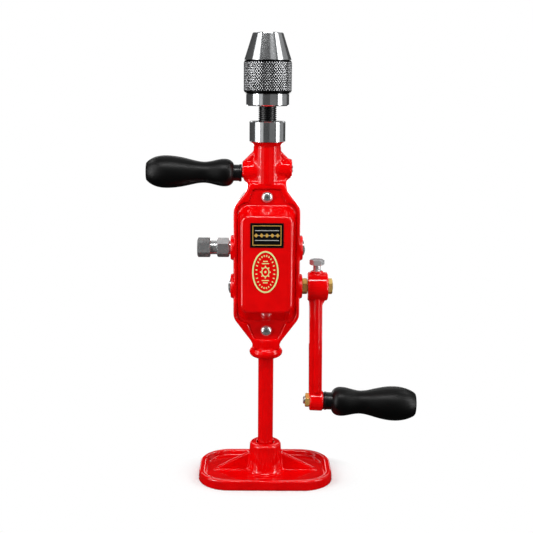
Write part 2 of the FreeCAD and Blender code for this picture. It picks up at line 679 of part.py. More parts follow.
def neck():
    """Round neck with its flange and the two bosses for the side handle."""
    waist = Vector(NECK_RADIUS, 0, NECK_WAIST)
    edge = Vector(NECK_FLANGE_RADIUS, 0, CASING_TOP - NECK_FLANGE_EDGE)
    bend = Vector(NECK_RADIUS + 0.9, 0, edge.z - 1.1)
    column = turned_edges([
        line(Vector(0, 0, NECK_FOOT), Vector(NECK_RADIUS, 0, NECK_FOOT)),
        line(Vector(NECK_RADIUS, 0, NECK_FOOT), waist), arc(waist, bend, edge),
        line(edge, Vector(NECK_FLANGE_RADIUS, 0, CASING_TOP)),
        line(Vector(NECK_FLANGE_RADIUS, 0, CASING_TOP), Vector(0, 0, CASING_TOP)),
        line(Vector(0, 0, CASING_TOP), Vector(0, 0, NECK_FOOT)),
    ])
    joined = column.fuse([
        sideways(handle_boss(LEFT_BOSS_RADIUS), LEFT_BOSS_HEIGHT, -1),
        sideways(handle_boss(RIGHT_BOSS_RADIUS), RIGHT_BOSS_HEIGHT, 1),
    ])
    seams = []
    for seam in joined.Edges:
        box = seam.BoundBox
        inside = box.XMax < NECK_RADIUS + 0.1 and box.XMin > -NECK_RADIUS - 0.1
        curved = box.ZLength > 1 and box.YLength > 1 and box.XLength > 1
        if inside and curved and box.ZMin > NECK_FOOT + 1 and box.ZMax < NECK_WAIST:
            seams.append(seam)
    joined = joined.makeFillet(HANDLE_BOSS_COVE, seams)
    tall = HANDLE_WEB_TOP
    low = LEFT_BOSS_HEIGHT
    web_corners = [
        Vector(-NECK_RADIUS + 0.5, 0, tall), Vector(NECK_RADIUS - 0.5, 0, tall),
        Vector(HANDLE_WEB_END, 0, tall - (HANDLE_WEB_END - NECK_RADIUS + 0.5)), Vector(HANDLE_WEB_END, 0, low),
        Vector(-HANDLE_WEB_END, 0, low), Vector(-HANDLE_WEB_END, 0, tall - (HANDLE_WEB_END - NECK_RADIUS + 0.5)),
    ]
    web = Part.Face(Part.makePolygon(web_corners + web_corners[:1]))
    web.translate(Vector(0, -HANDLE_WEB_THICKNESS / 2, 0))
    web = web.extrude(Vector(0, HANDLE_WEB_THICKNESS, 0))
    return joined.fuse(web.makeFillet(HANDLE_WEB_ROUND, edges_along_slope(web)))


def tail():
    """Round tail with its ring, where the rod enters."""
    ring = TAIL_RING_HEIGHT
    low = Vector(TAIL_RADIUS - 0.8, 0, ring - 4.9)
    high = Vector(TAIL_RADIUS, 0, ring + 4.9)
    bottom = Vector(TAIL_RADIUS - 3, 0, CASING_BOTTOM)
    return turned_edges([
        line(Vector(0, 0, CASING_BOTTOM), bottom), line(bottom, low),
        arc(low, Vector(TAIL_RING_RADIUS, 0, ring), high), line(high, Vector(TAIL_RADIUS, 0, TAIL_TOP)),
        line(Vector(TAIL_RADIUS, 0, TAIL_TOP), Vector(0, 0, TAIL_TOP)),
        line(Vector(0, 0, TAIL_TOP), Vector(0, 0, CASING_BOTTOM)),
    ])


def shaft_boss():
    """One shaft boss about Z, with a cove where it meets the wall."""
    wall = CASING_HALF_WIDTH - 0.5
    cove = SHAFT_BOSS_COVE
    foot = Vector(SHAFT_BOSS_RADIUS + cove, 0, wall)
    rise = Vector(SHAFT_BOSS_RADIUS, 0, wall + cove)
    bend = Vector(foot.x - cove * math.sqrt(0.5), 0, rise.z - cove * math.sqrt(0.5))
    face = Vector(SHAFT_BOSS_RADIUS - 0.6, 0, SHAFT_BOSS_REACH)
    return turned_edges([
        line(Vector(0, 0, wall - 3), Vector(foot.x, 0, wall - 3)), line(Vector(foot.x, 0, wall - 3), foot),
        arc(foot, bend, rise), line(rise, Vector(SHAFT_BOSS_RADIUS, 0, SHAFT_BOSS_REACH - 0.6)),
        line(Vector(SHAFT_BOSS_RADIUS, 0, SHAFT_BOSS_REACH - 0.6), face),
        line(face, Vector(0, 0, SHAFT_BOSS_REACH)), line(Vector(0, 0, SHAFT_BOSS_REACH), Vector(0, 0, wall - 3)),
    ])


def cover_outline(extra):
    return mirrored_outline(
        [(EAR_BOTTOM_HALF_WIDTH + extra, EAR_BOTTOM - extra), (EAR_BOTTOM_FOOT + extra, FLANGE_BOTTOM - extra),
         (FLANGE_HALF_WIDTH + extra, FLANGE_BOTTOM - extra), (FLANGE_HALF_WIDTH + extra, FLANGE_TOP + extra),
         (EAR_TOP_FOOT + extra, FLANGE_TOP + extra), (EAR_TOP_HALF_WIDTH + extra, EAR_TOP + extra)],
        [3.0, 1.0, FLANGE_CORNER, FLANGE_CORNER, 1.0, 3.0])


def gear_casing():
    body = casing_blank().fuse([neck(), tail()])
    for height in (CRANK_HEIGHT, LAY_HEIGHT):
        for toward in (-1, 1):
            body = body.fuse(sideways(shaft_boss(), height, toward))
    front_waste = block(Vector(-CASING_HALF_WIDTH - OVERRUN, -PANEL_FRONT, TAIL_TOP + 3.5),
                        Vector(CASING_HALF_WIDTH + OVERRUN, -CASING_RIM, NECK_STEP))
    body = body.cut(front_waste)
    inner = CASING_HALF_WIDTH - CASING_WALL
    chamber = front_prism(frame_outline(inner, CHAMBER_BOTTOM, CHAMBER_TOP, CHAMBER_CORNER),
                          COVER_SEAT - MOUTH_LIP, CASING_BACK - CASING_WALL)
    mouth = front_prism(frame_outline(MOUTH_HALF_WIDTH, CHAMBER_BOTTOM, CHAMBER_TOP, CHAMBER_CORNER),
                        CASING_RIM + OVERRUN, 0)
    inner_bosses = []
    for height in (CRANK_HEIGHT, LAY_HEIGHT):
        for toward in (-1, 1):
            inner_bosses.append(sideways(bar(SHAFT_BOSS_RADIUS, INNER_BOSS_FACE, inner + 1), height, toward))
    chamber = chamber.fuse(mouth)
    for boss in inner_bosses:
        chamber = chamber.cut(boss)
    body = body.cut(chamber)
    body = body.cut(front_prism(cover_outline(RECESS_CLEARANCE), CASING_RIM + OVERRUN, -COVER_SEAT))
    for height in (CRANK_HEIGHT, LAY_HEIGHT):
        bore = bar(SHAFT_BORE, -SHAFT_BOSS_REACH - OVERRUN, SHAFT_BOSS_REACH + OVERRUN)
        body = body.cut(sideways(bore, height))
    body = body.cut(bar(LOWER_BUSH_OUTER, CHAMBER_TOP - OVERRUN, LOWER_BUSH_TOP))
    body = body.cut(bar(SPINDLE_BORE, LOWER_BUSH_TOP - OVERRUN, UPPER_BORE_BOTTOM + OVERRUN))
    body = body.cut(bar(UPPER_BUSH_OUTER, UPPER_BORE_BOTTOM, CASING_TOP + OVERRUN))
    body = body.cut(bar(ROD_SPIGOT_RADIUS + SEAT, CASING_BOTTOM - OVERRUN, CASING_BOTTOM + ROD_SPIGOT_LENGTH))
    body = body.cut(rod_pin(SEAT))
    for height in (SCREW_TOP_HEIGHT, SCREW_BOTTOM_HEIGHT):
        hole = bar(SCREW_RADIUS + SEAT, COVER_SEAT - SCREW_HOLE, COVER_SEAT + OVERRUN)
        body = body.cut(forward(hole, height))
    stud_hole = bar(SIDE_STUD_RADIUS + SEAT, HANDLE_BOSS_REACH - SIDE_STUD_DEPTH, HANDLE_BOSS_REACH + OVERRUN)
    body = body.cut(at_boss(stud_hole))
    plug_hole = bar(BOSS_PLUG_RADIUS + SEAT, HANDLE_BOSS_REACH - SIDE_STUD_DEPTH, HANDLE_BOSS_REACH + OVERRUN)
    return body.cut(sideways(plug_hole, RIGHT_BOSS_HEIGHT, 1))


# Front cover

def panel_outline(front, half_width, bottom, top, corner):
    wire = frame_outline(half_width, bottom, top, corner)
    wire.translate(Vector(0, -front, 0))
    return wire


def front_cover():
    flange_front = COVER_SEAT + GASKET + FLANGE_THICKNESS
    flange = front_prism(cover_outline(0), flange_front, -COVER_SEAT - GASKET)
    foot = panel_outline(flange_front - 0.5, PANEL_FOOT_HALF_WIDTH, PANEL_FOOT_BOTTOM, PANEL_FOOT_TOP,
                         PANEL_FOOT_CORNER)
    face = panel_outline(PANEL_FRONT, PANEL_HALF_WIDTH, PANEL_BOTTOM, PANEL_TOP, PANEL_CORNER)
    panel = Part.makeLoft([foot, face], True, True)
    front_edges = [edge for edge in panel.Edges if abs(edge.BoundBox.YMax + PANEL_FRONT) < 0.01]
    panel = panel.makeFillet(PANEL_ROUND, front_edges)
    wall = PANEL_WALL
    hollow_foot = panel_outline(COVER_SEAT + GASKET - 0.1, MOUTH_HALF_WIDTH - 0.2, CHAMBER_BOTTOM, CHAMBER_TOP + 8,
                                PANEL_FOOT_CORNER - wall)
    hollow_face = panel_outline(PANEL_FRONT - wall, PANEL_HALF_WIDTH - wall + 0.4, PANEL_BOTTOM + 0.4,
                                PANEL_TOP - 0.4, PANEL_CORNER - wall)
    hollow = Part.makeLoft([hollow_foot, hollow_face], True, True)
    cover = flange.fuse(panel).cut(hollow)
    for height in (SCREW_TOP_HEIGHT, SCREW_BOTTOM_HEIGHT):
        cover = cover.cut(forward(bar(SCREW_RADIUS + 0.2, 0, PANEL_FRONT), height))
        recess = bar(SCREW_HEAD_RADIUS + 0.9, flange_front, PANEL_FRONT)
        cover = cover.cut(forward(recess, height))
    return cover


def cover_gasket():
    sheet = front_prism(cover_outline(-0.4), COVER_SEAT + GASKET, -COVER_SEAT)
    mouth = frame_outline(MOUTH_HALF_WIDTH, CHAMBER_BOTTOM, CHAMBER_TOP, CHAMBER_CORNER)
    sheet = sheet.cut(front_prism(mouth, PANEL_FRONT, 0))
    for height in (SCREW_TOP_HEIGHT, SCREW_BOTTOM_HEIGHT):
        sheet = sheet.cut(forward(bar(SCREW_RADIUS + 0.2, 0, PANEL_FRONT), height))
    return sheet


def cover_screw():
    """Pan-head cross-recess screw about Z, its head up."""
    seat = COVER_SEAT + GASKET + FLANGE_THICKNESS
    top = seat + SCREW_HEAD_HEIGHT
    side = Vector(SCREW_HEAD_RADIUS, 0, seat + SCREW_HEAD_HEIGHT * 0.45)
    crown = Vector(SCREW_HEAD_RADIUS * 0.8, 0, top - SCREW_HEAD_HEIGHT * 0.16)
    head = turned_edges([
        line(Vector(0, 0, seat), Vector(SCREW_HEAD_RADIUS, 0, seat)),
        line(Vector(SCREW_HEAD_RADIUS, 0, seat), side), arc(side, crown, Vector(0, 0, top)),
        line(Vector(0, 0, top), Vector(0, 0, seat)),
    ])
    reach, half = CROSS_REACH, CROSS_WIDTH / 2
    cross = block(Vector(-reach, -half, top - CROSS_DEPTH), Vector(reach, half, top + 1))
    cross = cross.fuse(block(Vector(-half, -reach, top - CROSS_DEPTH), Vector(half, reach, top + 1)))
    shank = bar(SCREW_RADIUS, COVER_SEAT - SCREW_BITE, seat)
    return head.cut(cross).fuse(shank)


def cover_screws():
    return Part.Compound([forward(cover_screw(), height) for height in (SCREW_TOP_HEIGHT, SCREW_BOTTOM_HEIGHT)])


def label_plate():
    half_width = PLATE_LABEL_WIDTH / 2
    half_height = PLATE_LABEL_HEIGHT / 2
    outline = frame_outline(half_width, PLATE_LABEL_CENTRE - half_height, PLATE_LABEL_CENTRE + half_height, 1.0)
    return front_prism(outline, PANEL_FRONT + LABEL_THICKNESS, -PANEL_FRONT)


def oval_badge():
    """Flat oval ring on the panel, empty inside."""
    def oval(half_height, half_width):
        ellipse = Part.Ellipse(ORIGIN, half_height, half_width)
        face = Part.Face(Part.Wire(ellipse.toShape()))
        face.rotate(ORIGIN, Z_AXIS, 90)
        return forward(face.extrude(Vector(0, 0, LABEL_THICKNESS)), OVAL_CENTRE)
    ring = oval(OVAL_HALF_HEIGHT, OVAL_HALF_WIDTH)
    ring = ring.cut(oval(OVAL_HALF_HEIGHT - OVAL_LINE, OVAL_HALF_WIDTH - OVAL_LINE))
    ring.translate(Vector(OVAL_SHIFT, -PANEL_FRONT, 0))
    return ring


# Gear train

def gear_blank(teeth, start, end, first_tooth, bore):
    return spur_gear(teeth, start, end, first_tooth).cut(bar(bore, start - 1, end + 1))


def crank_gear(teeth, start, end):
    """Gear fixed on the crank shaft, with a tooth straight up."""
    return sideways(gear_blank(teeth, start, end, math.pi, CRANK_SEAT_RADIUS + SEAT), CRANK_HEIGHT)


def key_slots(start, end):
    """Two slots for the draw key, across Z, about a shaft lying on X."""
    half = KEY_THICKNESS / 2 + KEY_CLEARANCE
    reach = KEY_REACH + KEY_CLEARANCE + 0.1
    return block(Vector(start, -reach, -half), Vector(end, reach, half))


def lay_gear(teeth, start, end):
    """Loose gear on the layshaft, with a tooth space straight down and slots for the key."""
    gear = gear_blank(teeth, start, end, math.pi / teeth, LAY_SEAT_RADIUS + RUN)
    gear = sideways(gear, LAY_HEIGHT)
    slots = key_slots(start - 1, end + 1)
    slots.translate(Vector(0, 0, LAY_HEIGHT))
    return gear.cut(slots)


def spacer_ring():
    """Ring pressed on the layshaft between its loose gears, slotted for the key's neutral place."""
    start = FAST_GEAR_END + GEAR_SIDE_GAP
    end = SLOW_GEAR_START - GEAR_SIDE_GAP
    ring = sideways(tube(SPACER_OUTER, LAY_SEAT_RADIUS + SEAT, start, end), LAY_HEIGHT)
    slots = key_slots(start - 1, end + 1)
    slots.translate(Vector(0, 0, LAY_HEIGHT))
    return ring.cut(slots)


def layshaft():
    seat_start = -WHEEL_HUB_END
    seat_end = SLOW_GEAR_END + SHAFT_END_GAP
    body = turned([
        (0, -BUSH_END + 0.5), (LAY_JOURNAL, -BUSH_END + 0.5), (LAY_JOURNAL, seat_start),
        (LAY_SEAT_RADIUS, seat_start), (LAY_SEAT_RADIUS, seat_end), (LAY_JOURNAL, seat_end),
        (LAY_JOURNAL, BUSH_END - 0.5), (0, BUSH_END - 0.5),
    ])
    body = body.cut(bar(LAY_BORE, -BUSH_END - OVERRUN, SLOW_GEAR_END))
    body = sideways(body, LAY_HEIGHT)
    slots = key_slots(FAST_GEAR_START + 0.5, SLOW_GEAR_END - 0.3)
    slots.translate(Vector(0, 0, LAY_HEIGHT))
    body = body.cut(slots)
    return body.cut(wheel_pin(SEAT))


def wheel_pin(extra):
    """Pin through the bevel wheel's hub and the hollow layshaft's wall, from the front."""
    middle = -(WHEEL_BACK + WHEEL_HUB_END) / 2
    pin = Part.makeCylinder(1.5 + extra, WHEEL_HUB_RADIUS - LAY_BORE - 0.4,
                            Vector(middle, -WHEEL_HUB_RADIUS + 0.2, LAY_HEIGHT), Y_AXIS)
    return pin


def bevel_wheel():
    wheel = bevel_gear(WHEEL_TEETH, PINION_TEETH, WHEEL_BACK, WHEEL_HUB_RADIUS, WHEEL_HUB_END,
                       math.pi / WHEEL_TEETH)
    wheel = sideways(wheel.cut(bar(LAY_SEAT_RADIUS + SEAT, -OVERRUN, WHEEL_HUB_END + OVERRUN)), LAY_HEIGHT, -1)
    return wheel.cut(wheel_pin(SEAT))


def pinion_pin(extra):
    height = PINION_TOP - 2.0
    return Part.makeCylinder(1.0 + extra, 15.0, Vector(0, -7.5, height), Y_AXIS)


def bevel_pinion():
    top = PINION_TOP - LAY_HEIGHT
    pinion = bevel_gear(PINION_TEETH, WHEEL_TEETH, top - 2.5, 8.5, top, math.pi)
    pinion = pinion.cut(bar(SPINDLE_TIP_RADIUS + SEAT, 0, top + OVERRUN))
    pinion.translate(Vector(0, 0, LAY_HEIGHT))
    return pinion.cut(pinion_pin(SEAT))


def crank_shaft():
    seat_end = SLOW_GEAR_END + SHAFT_END_GAP
    thread_end = HUB_END + END_NUT + 0.5
    body = turned([
        (0, -BUSH_END + 0.5), (CRANK_JOURNAL, -BUSH_END + 0.5), (CRANK_JOURNAL, 0.3 - INNER_BOSS_FACE),
        (CRANK_SEAT_RADIUS, 0.3 - INNER_BOSS_FACE), (CRANK_SEAT_RADIUS, seat_end), (CRANK_JOURNAL, seat_end),
        (CRANK_JOURNAL, HUB_END - 0.3), (CRANK_THREAD, HUB_END - 0.3),
        (CRANK_THREAD, thread_end - 0.5), (CRANK_THREAD - 0.5, thread_end), (0, thread_end),
    ])
    return sideways(body, CRANK_HEIGHT)


def shaft_bush(height, toward, inner):
    return sideways(tube(SHAFT_BORE, inner + RUN, INNER_BOSS_FACE, BUSH_END), height, toward)


def crank_bush():
    """Brass bush in the crank side's lower boss, with a hexagon outside."""
    head = hexagon(BRASS_FLATS, SHAFT_BOSS_REACH, CRANK_BUSH_END, False, True)
    body = head.fuse(bar(SHAFT_BORE, INNER_BOSS_FACE, SHAFT_BOSS_REACH))
    return sideways(body.cut(bar(CRANK_JOURNAL + RUN, 0, CRANK_BUSH_END + OVERRUN)), CRANK_HEIGHT)


def boss_cap(height, toward):
    """Domed slotted plug that closes a blind shaft boss."""
    face = SHAFT_BOSS_REACH
    top = face + PLUG_DOME
    edge = Vector(PLUG_RADIUS, 0, face + 0.9)
    crown = Vector(PLUG_RADIUS * 0.72, 0, top - PLUG_DOME * 0.24)
    cap = turned_edges([
        line(Vector(0, 0, face - PLUG_SPIGOT), Vector(SHAFT_BORE, 0, face - PLUG_SPIGOT)),
        line(Vector(SHAFT_BORE, 0, face - PLUG_SPIGOT), Vector(SHAFT_BORE, 0, face)),
        line(Vector(SHAFT_BORE, 0, face), Vector(PLUG_RADIUS, 0, face)), line(Vector(PLUG_RADIUS, 0, face), edge),
        arc(edge, crown, Vector(0, 0, top)), line(Vector(0, 0, top), Vector(0, 0, face - PLUG_SPIGOT)),
    ])
    slot = block(Vector(-SLOT_WIDTH / 2, -PLUG_RADIUS, top - SLOT_DEPTH), Vector(SLOT_WIDTH / 2, PLUG_RADIUS, top + 1))
    return sideways(cap.cut(slot), height, toward)


def shift_gland():
    """Hexagon gland nut that guides the shift knob's neck."""
    body = hexagon(GLAND_FLATS, GLAND_START, GLAND_END)
    body = body.fuse(bar(SHAFT_BORE, BUSH_END + 0.2, GLAND_START))
    body = body.cut(bar(KNOB_NECK_RADIUS + RUN, SHAFT_BOSS_REACH + 1.5, GLAND_END + OVERRUN))
    body = body.cut(bar(SHIFT_ROD_RADIUS + RUN, BUSH_END - OVERRUN, SHAFT_BOSS_REACH + OVERRUN))
    return sideways(body, LAY_HEIGHT, -1)


def key_position():
    """Middle of the draw key along X, in the fast gear."""
    return FAST_GEAR_END - KEY_WIDTH / 2 - 0.4


def shift_knob():
    """Hexagon knob, its neck and the rod that moves the key, in one piece."""
    key = key_position()
    neck_end = SHAFT_BOSS_REACH + 1.5 + SHIFT_TRAVEL + 0.5
    head = hexagon(KNOB_FLATS, KNOB_HEX_START, KNOB_HEX_END)
    head.rotate(ORIGIN, Z_AXIS, KNOB_TURN)
    hexed = sideways(head, LAY_HEIGHT, -1)
    stem = turned([
        (0, -KNOB_HEX_START), (KNOB_NECK_RADIUS, -KNOB_HEX_START), (KNOB_NECK_RADIUS, -neck_end),
        (SHIFT_ROD_RADIUS, -neck_end), (SHIFT_ROD_RADIUS, key - KEY_WIDTH / 2 - 0.1),
        (SHIFT_TIP_RADIUS, key - KEY_WIDTH / 2 - 0.1), (SHIFT_TIP_RADIUS, key + KEY_WIDTH / 2 + 0.1),
        (SHIFT_TIP_HEAD, key + KEY_WIDTH / 2 + 0.1), (SHIFT_TIP_HEAD, key + KEY_WIDTH / 2 + 0.1 + SHIFT_TIP_LENGTH),
        (0, key + KEY_WIDTH / 2 + 0.1 + SHIFT_TIP_LENGTH),
    ])
    return hexed.fuse(sideways(stem, LAY_HEIGHT))


def draw_key():
    """Cross bar that locks one loose gear to the layshaft."""
    key = key_position()
    half = KEY_THICKNESS / 2
    bar_body = block(Vector(key - KEY_WIDTH / 2, -KEY_REACH, -half), Vector(key + KEY_WIDTH / 2, KEY_REACH, half))
    bar_body.translate(Vector(0, 0, LAY_HEIGHT))
    return bar_body.cut(sideways(bar(SHIFT_TIP_RADIUS + RUN, 0, SLOW_GEAR_END), LAY_HEIGHT))


# Spindle and its bearing

def thread_profile(low, high):
    """Grooved outline of a threaded stretch, as (radius, height) corners."""
    corners = []
    grooves = int((high - low) / SPINDLE_THREAD_PITCH)
    for groove in range(grooves):
        start = low + groove * SPINDLE_THREAD_PITCH
        corners.append((SPINDLE_THREAD_RADIUS, start + 0.3))
        corners.append((SPINDLE_THREAD_RADIUS - SPINDLE_THREAD_DEPTH, start + SPINDLE_THREAD_PITCH / 2))
        corners.append((SPINDLE_THREAD_RADIUS, start + SPINDLE_THREAD_PITCH - 0.3))
    return corners


def spindle():
    race_top = CASING_TOP + 2 * RACE_THICKNESS + 2 * BALL_RADIUS + 2 * BALL_PLAY
    body = turned([
        (0, SPINDLE_TIP_START), (SPINDLE_TIP_RADIUS, SPINDLE_TIP_START), (SPINDLE_TIP_RADIUS, PINION_TOP),
        (SPINDLE_LOWER_RADIUS, PINION_TOP), (SPINDLE_LOWER_RADIUS, SPINDLE_STEP), (SPINDLE_RADIUS, SPINDLE_STEP),
        (SPINDLE_RADIUS, CASING_TOP), (SPINDLE_MIDDLE_RADIUS, CASING_TOP),
        (SPINDLE_MIDDLE_RADIUS, race_top), (SPINDLE_THREAD_RADIUS, race_top),
        (SPINDLE_THREAD_RADIUS, COLLAR_TOP)] + thread_profile(COLLAR_TOP, CHUCK_BOTTOM) + [
        (SPINDLE_THREAD_RADIUS, CHUCK_BOTTOM), (SPINDLE_THREAD_RADIUS, SPINDLE_TOP), (0, SPINDLE_TOP),
    ])
    return body.cut(pinion_pin(SEAT))


def spindle_collar():
    """Polished steel collar that covers the thrust bearing and turns with the spindle."""
    pocket_top = CASING_TOP + 2 * RACE_THICKNESS + 2 * BALL_RADIUS + 2 * BALL_PLAY
    bottom = CASING_TOP + FACE_GAP
    inner = SPINDLE_THREAD_RADIUS + SEAT
    return turned([
        (COLLAR_POCKET_RADIUS, bottom), (COLLAR_RADIUS, bottom), (COLLAR_RADIUS, COLLAR_TOP - COLLAR_CHAMFER),
        (COLLAR_RADIUS - COLLAR_CHAMFER, COLLAR_TOP), (inner, COLLAR_TOP), (inner, pocket_top),
        (COLLAR_POCKET_RADIUS, pocket_top),
    ])


def race(low):
    return tube(RACE_OUTER, RACE_INNER, low, low + RACE_THICKNESS)


def ball_places():
    height = CASING_TOP + RACE_THICKNESS + BALL_PLAY + BALL_RADIUS
    places = []
    for index in range(BALL_COUNT):
        angle = 2 * math.pi * index / BALL_COUNT
        places.append(Vector(BALL_CIRCLE * math.cos(angle), BALL_CIRCLE * math.sin(angle), height))
    return places


def thrust_balls():
    return Part.Compound([Part.makeSphere(BALL_RADIUS, place) for place in ball_places()])


def ball_cage():
    places = ball_places()
    middle = places[0].z
    cage = tube(BALL_CIRCLE + BALL_RADIUS + 0.6, RACE_INNER + 0.3, middle - CAGE_THICKNESS / 2,
                middle + CAGE_THICKNESS / 2)
    for place in places:
        hole = Part.makeCylinder(BALL_RADIUS + 0.1, 2 * BALL_RADIUS, place - Z_AXIS * BALL_RADIUS)
        cage = cage.cut(hole)
    return cage


def spindle_bush(outer, journal, low, high):
    return tube(outer, journal + RUN, low, high)


# Chuck

def jaw_axis_radius(height):
    return JAW_AXIS_AT_TIP + (JAW_TIP_HEIGHT - height) * math.tan(math.radians(JAW_ANGLE))


def jaw_cylinder(radius, low, high):
    """Slanted cylinder of a jaw on the +X side, between two heights."""
    slant = math.radians(JAW_ANGLE)
    direction = Vector(-math.sin(slant), 0, math.cos(slant))
    start = Vector(jaw_axis_radius(low), 0, low)
    return Part.makeCylinder(radius, (high - low) / math.cos(slant), start, direction)


def chuck_jaw(turn):
    """One jaw, drawn fully back, at an angle about the spindle."""
    body = jaw_cylinder(JAW_RADIUS, JAW_TAIL_HEIGHT, JAW_TIP_HEIGHT)
    body = body.common(bar(JAW_TRIM, JAW_TAIL_HEIGHT - OVERRUN, JAW_TIP_HEIGHT + OVERRUN))
    closing = JAW_TRAVEL * math.sin(math.radians(JAW_ANGLE))
    apex = closing + 0.1
    far = JAW_TRIM + OVERRUN
    spread = (far - apex) * math.tan(math.radians(60))
    lip = (JAW_OPEN - apex) * math.tan(math.radians(60))
    low = JAW_TAIL_HEIGHT - OVERRUN
    wedge = [
        Vector(JAW_OPEN, -lip, low), Vector(far, -spread, low), Vector(far, spread, low), Vector(JAW_OPEN, lip, low),
    ]
    height = JAW_TIP_HEIGHT - JAW_TAIL_HEIGHT + 2 * OVERRUN
    keep = Part.Face(Part.makePolygon(wedge + wedge[:1])).extrude(Vector(0, 0, height))
    body = body.common(keep)
    body.rotate(ORIGIN, Z_AXIS, turn)
    return body


def chuck_body():
    shoulder = SLEEVE_TOP + 0.15
    under = SLEEVE_BORE - RUN
    body = turned([
        (0, CHUCK_BOTTOM), (REAR_SPIGOT, CHUCK_BOTTOM), (REAR_SPIGOT, REAR_COLLAR_TOP),
        (under, REAR_COLLAR_TOP), (under, NUT_BOTTOM - 0.2), (NUT_GROOVE, NUT_BOTTOM - 0.2),
        (NUT_GROOVE, NUT_TOP + 0.2), (under, NUT_TOP + 0.2), (under, shoulder), (CONE_BASE_RADIUS, shoulder),
        (CONE_TOP_RADIUS, CHUCK_TOP - CONE_EDGE), (CONE_TOP_RADIUS - CONE_EDGE * 0.3, CHUCK_TOP - CONE_EDGE * 0.3),
        (CONE_TOP_RADIUS - CONE_EDGE, CHUCK_TOP), (0, CHUCK_TOP),
    ])
    body = body.cut(bar(SPINDLE_THREAD_RADIUS + SEAT, CHUCK_BOTTOM - OVERRUN, SPINDLE_TOP + 0.5))
    body = body.cut(bar(SHANK_BORE, SHANK_BORE_BOTTOM, CHUCK_TOP + OVERRUN))
    for turn in JAW_TURNS:
        hole = jaw_cylinder(JAW_RADIUS + JAW_CLEARANCE, JAW_TAIL_HEIGHT - 1.5, CHUCK_TOP + OVERRUN)
        hole.rotate(ORIGIN, Z_AXIS, turn)
        body = body.cut(hole)
    return body


def chuck_rear_collar():
    return turned([
        (REAR_SPIGOT + SEAT, CHUCK_BOTTOM), (REAR_COLLAR_RADIUS - 1.0, CHUCK_BOTTOM),
        (REAR_COLLAR_RADIUS, CHUCK_BOTTOM + 1.0), (REAR_COLLAR_RADIUS, REAR_COLLAR_TOP),
        (REAR_SPIGOT + SEAT, REAR_COLLAR_TOP),
    ])


def chuck_sleeve():
    return turned([
        (SLEEVE_BORE, SLEEVE_BOTTOM), (SLEEVE_RADIUS - SLEEVE_CHAMFER_BOTTOM, SLEEVE_BOTTOM),
        (SLEEVE_RADIUS, SLEEVE_BOTTOM + SLEEVE_CHAMFER_BOTTOM), (SLEEVE_RADIUS, SLEEVE_TOP - SLEEVE_CHAMFER_TOP),
        (SLEEVE_RADIUS - SLEEVE_CHAMFER_TOP, SLEEVE_TOP), (SLEEVE_BORE, SLEEVE_TOP),
    ])


def chuck_nut():
    """Ring nut pressed in the sleeve, its cone running past the jaws' threads."""
    slack = JAW_RADIUS / math.cos(math.radians(JAW_ANGLE)) + 0.15
    return turned([
        (jaw_axis_radius(NUT_BOTTOM) + slack, NUT_BOTTOM), (SLEEVE_BORE - SEAT, NUT_BOTTOM),
        (SLEEVE_BORE - SEAT, NUT_TOP), (jaw_axis_radius(NUT_TOP) + slack, NUT_TOP),
    ])


# Crank

def eye_centre():
    lean = math.radians(ARM_LEAN)
    middle = ARM_START + ARM_WIDTH / 2
    return Vector(middle + EYE_SHIFT + CRANK_RADIUS * math.sin(lean), 0, CRANK_HEIGHT - CRANK_RADIUS * math.cos(lean))


def at_eye(shape):
    """Lay a shape made along +Z along the handle pin, its zero at the eye's middle."""
    laid = shape.copy()
    laid.rotate(ORIGIN, Y_AXIS, 90 + PIN_DROOP)
    laid.translate(eye_centre())
    return laid


def arm_section(start, half_depth, height):
    corners = [
        Vector(start, half_depth, height), Vector(start, -half_depth, height),
        Vector(start + ARM_WIDTH, -half_depth, height), Vector(start + ARM_WIDTH, half_depth, height),
    ]
    return rounded(corners, [ARM_EDGE_ROUND] * 4)


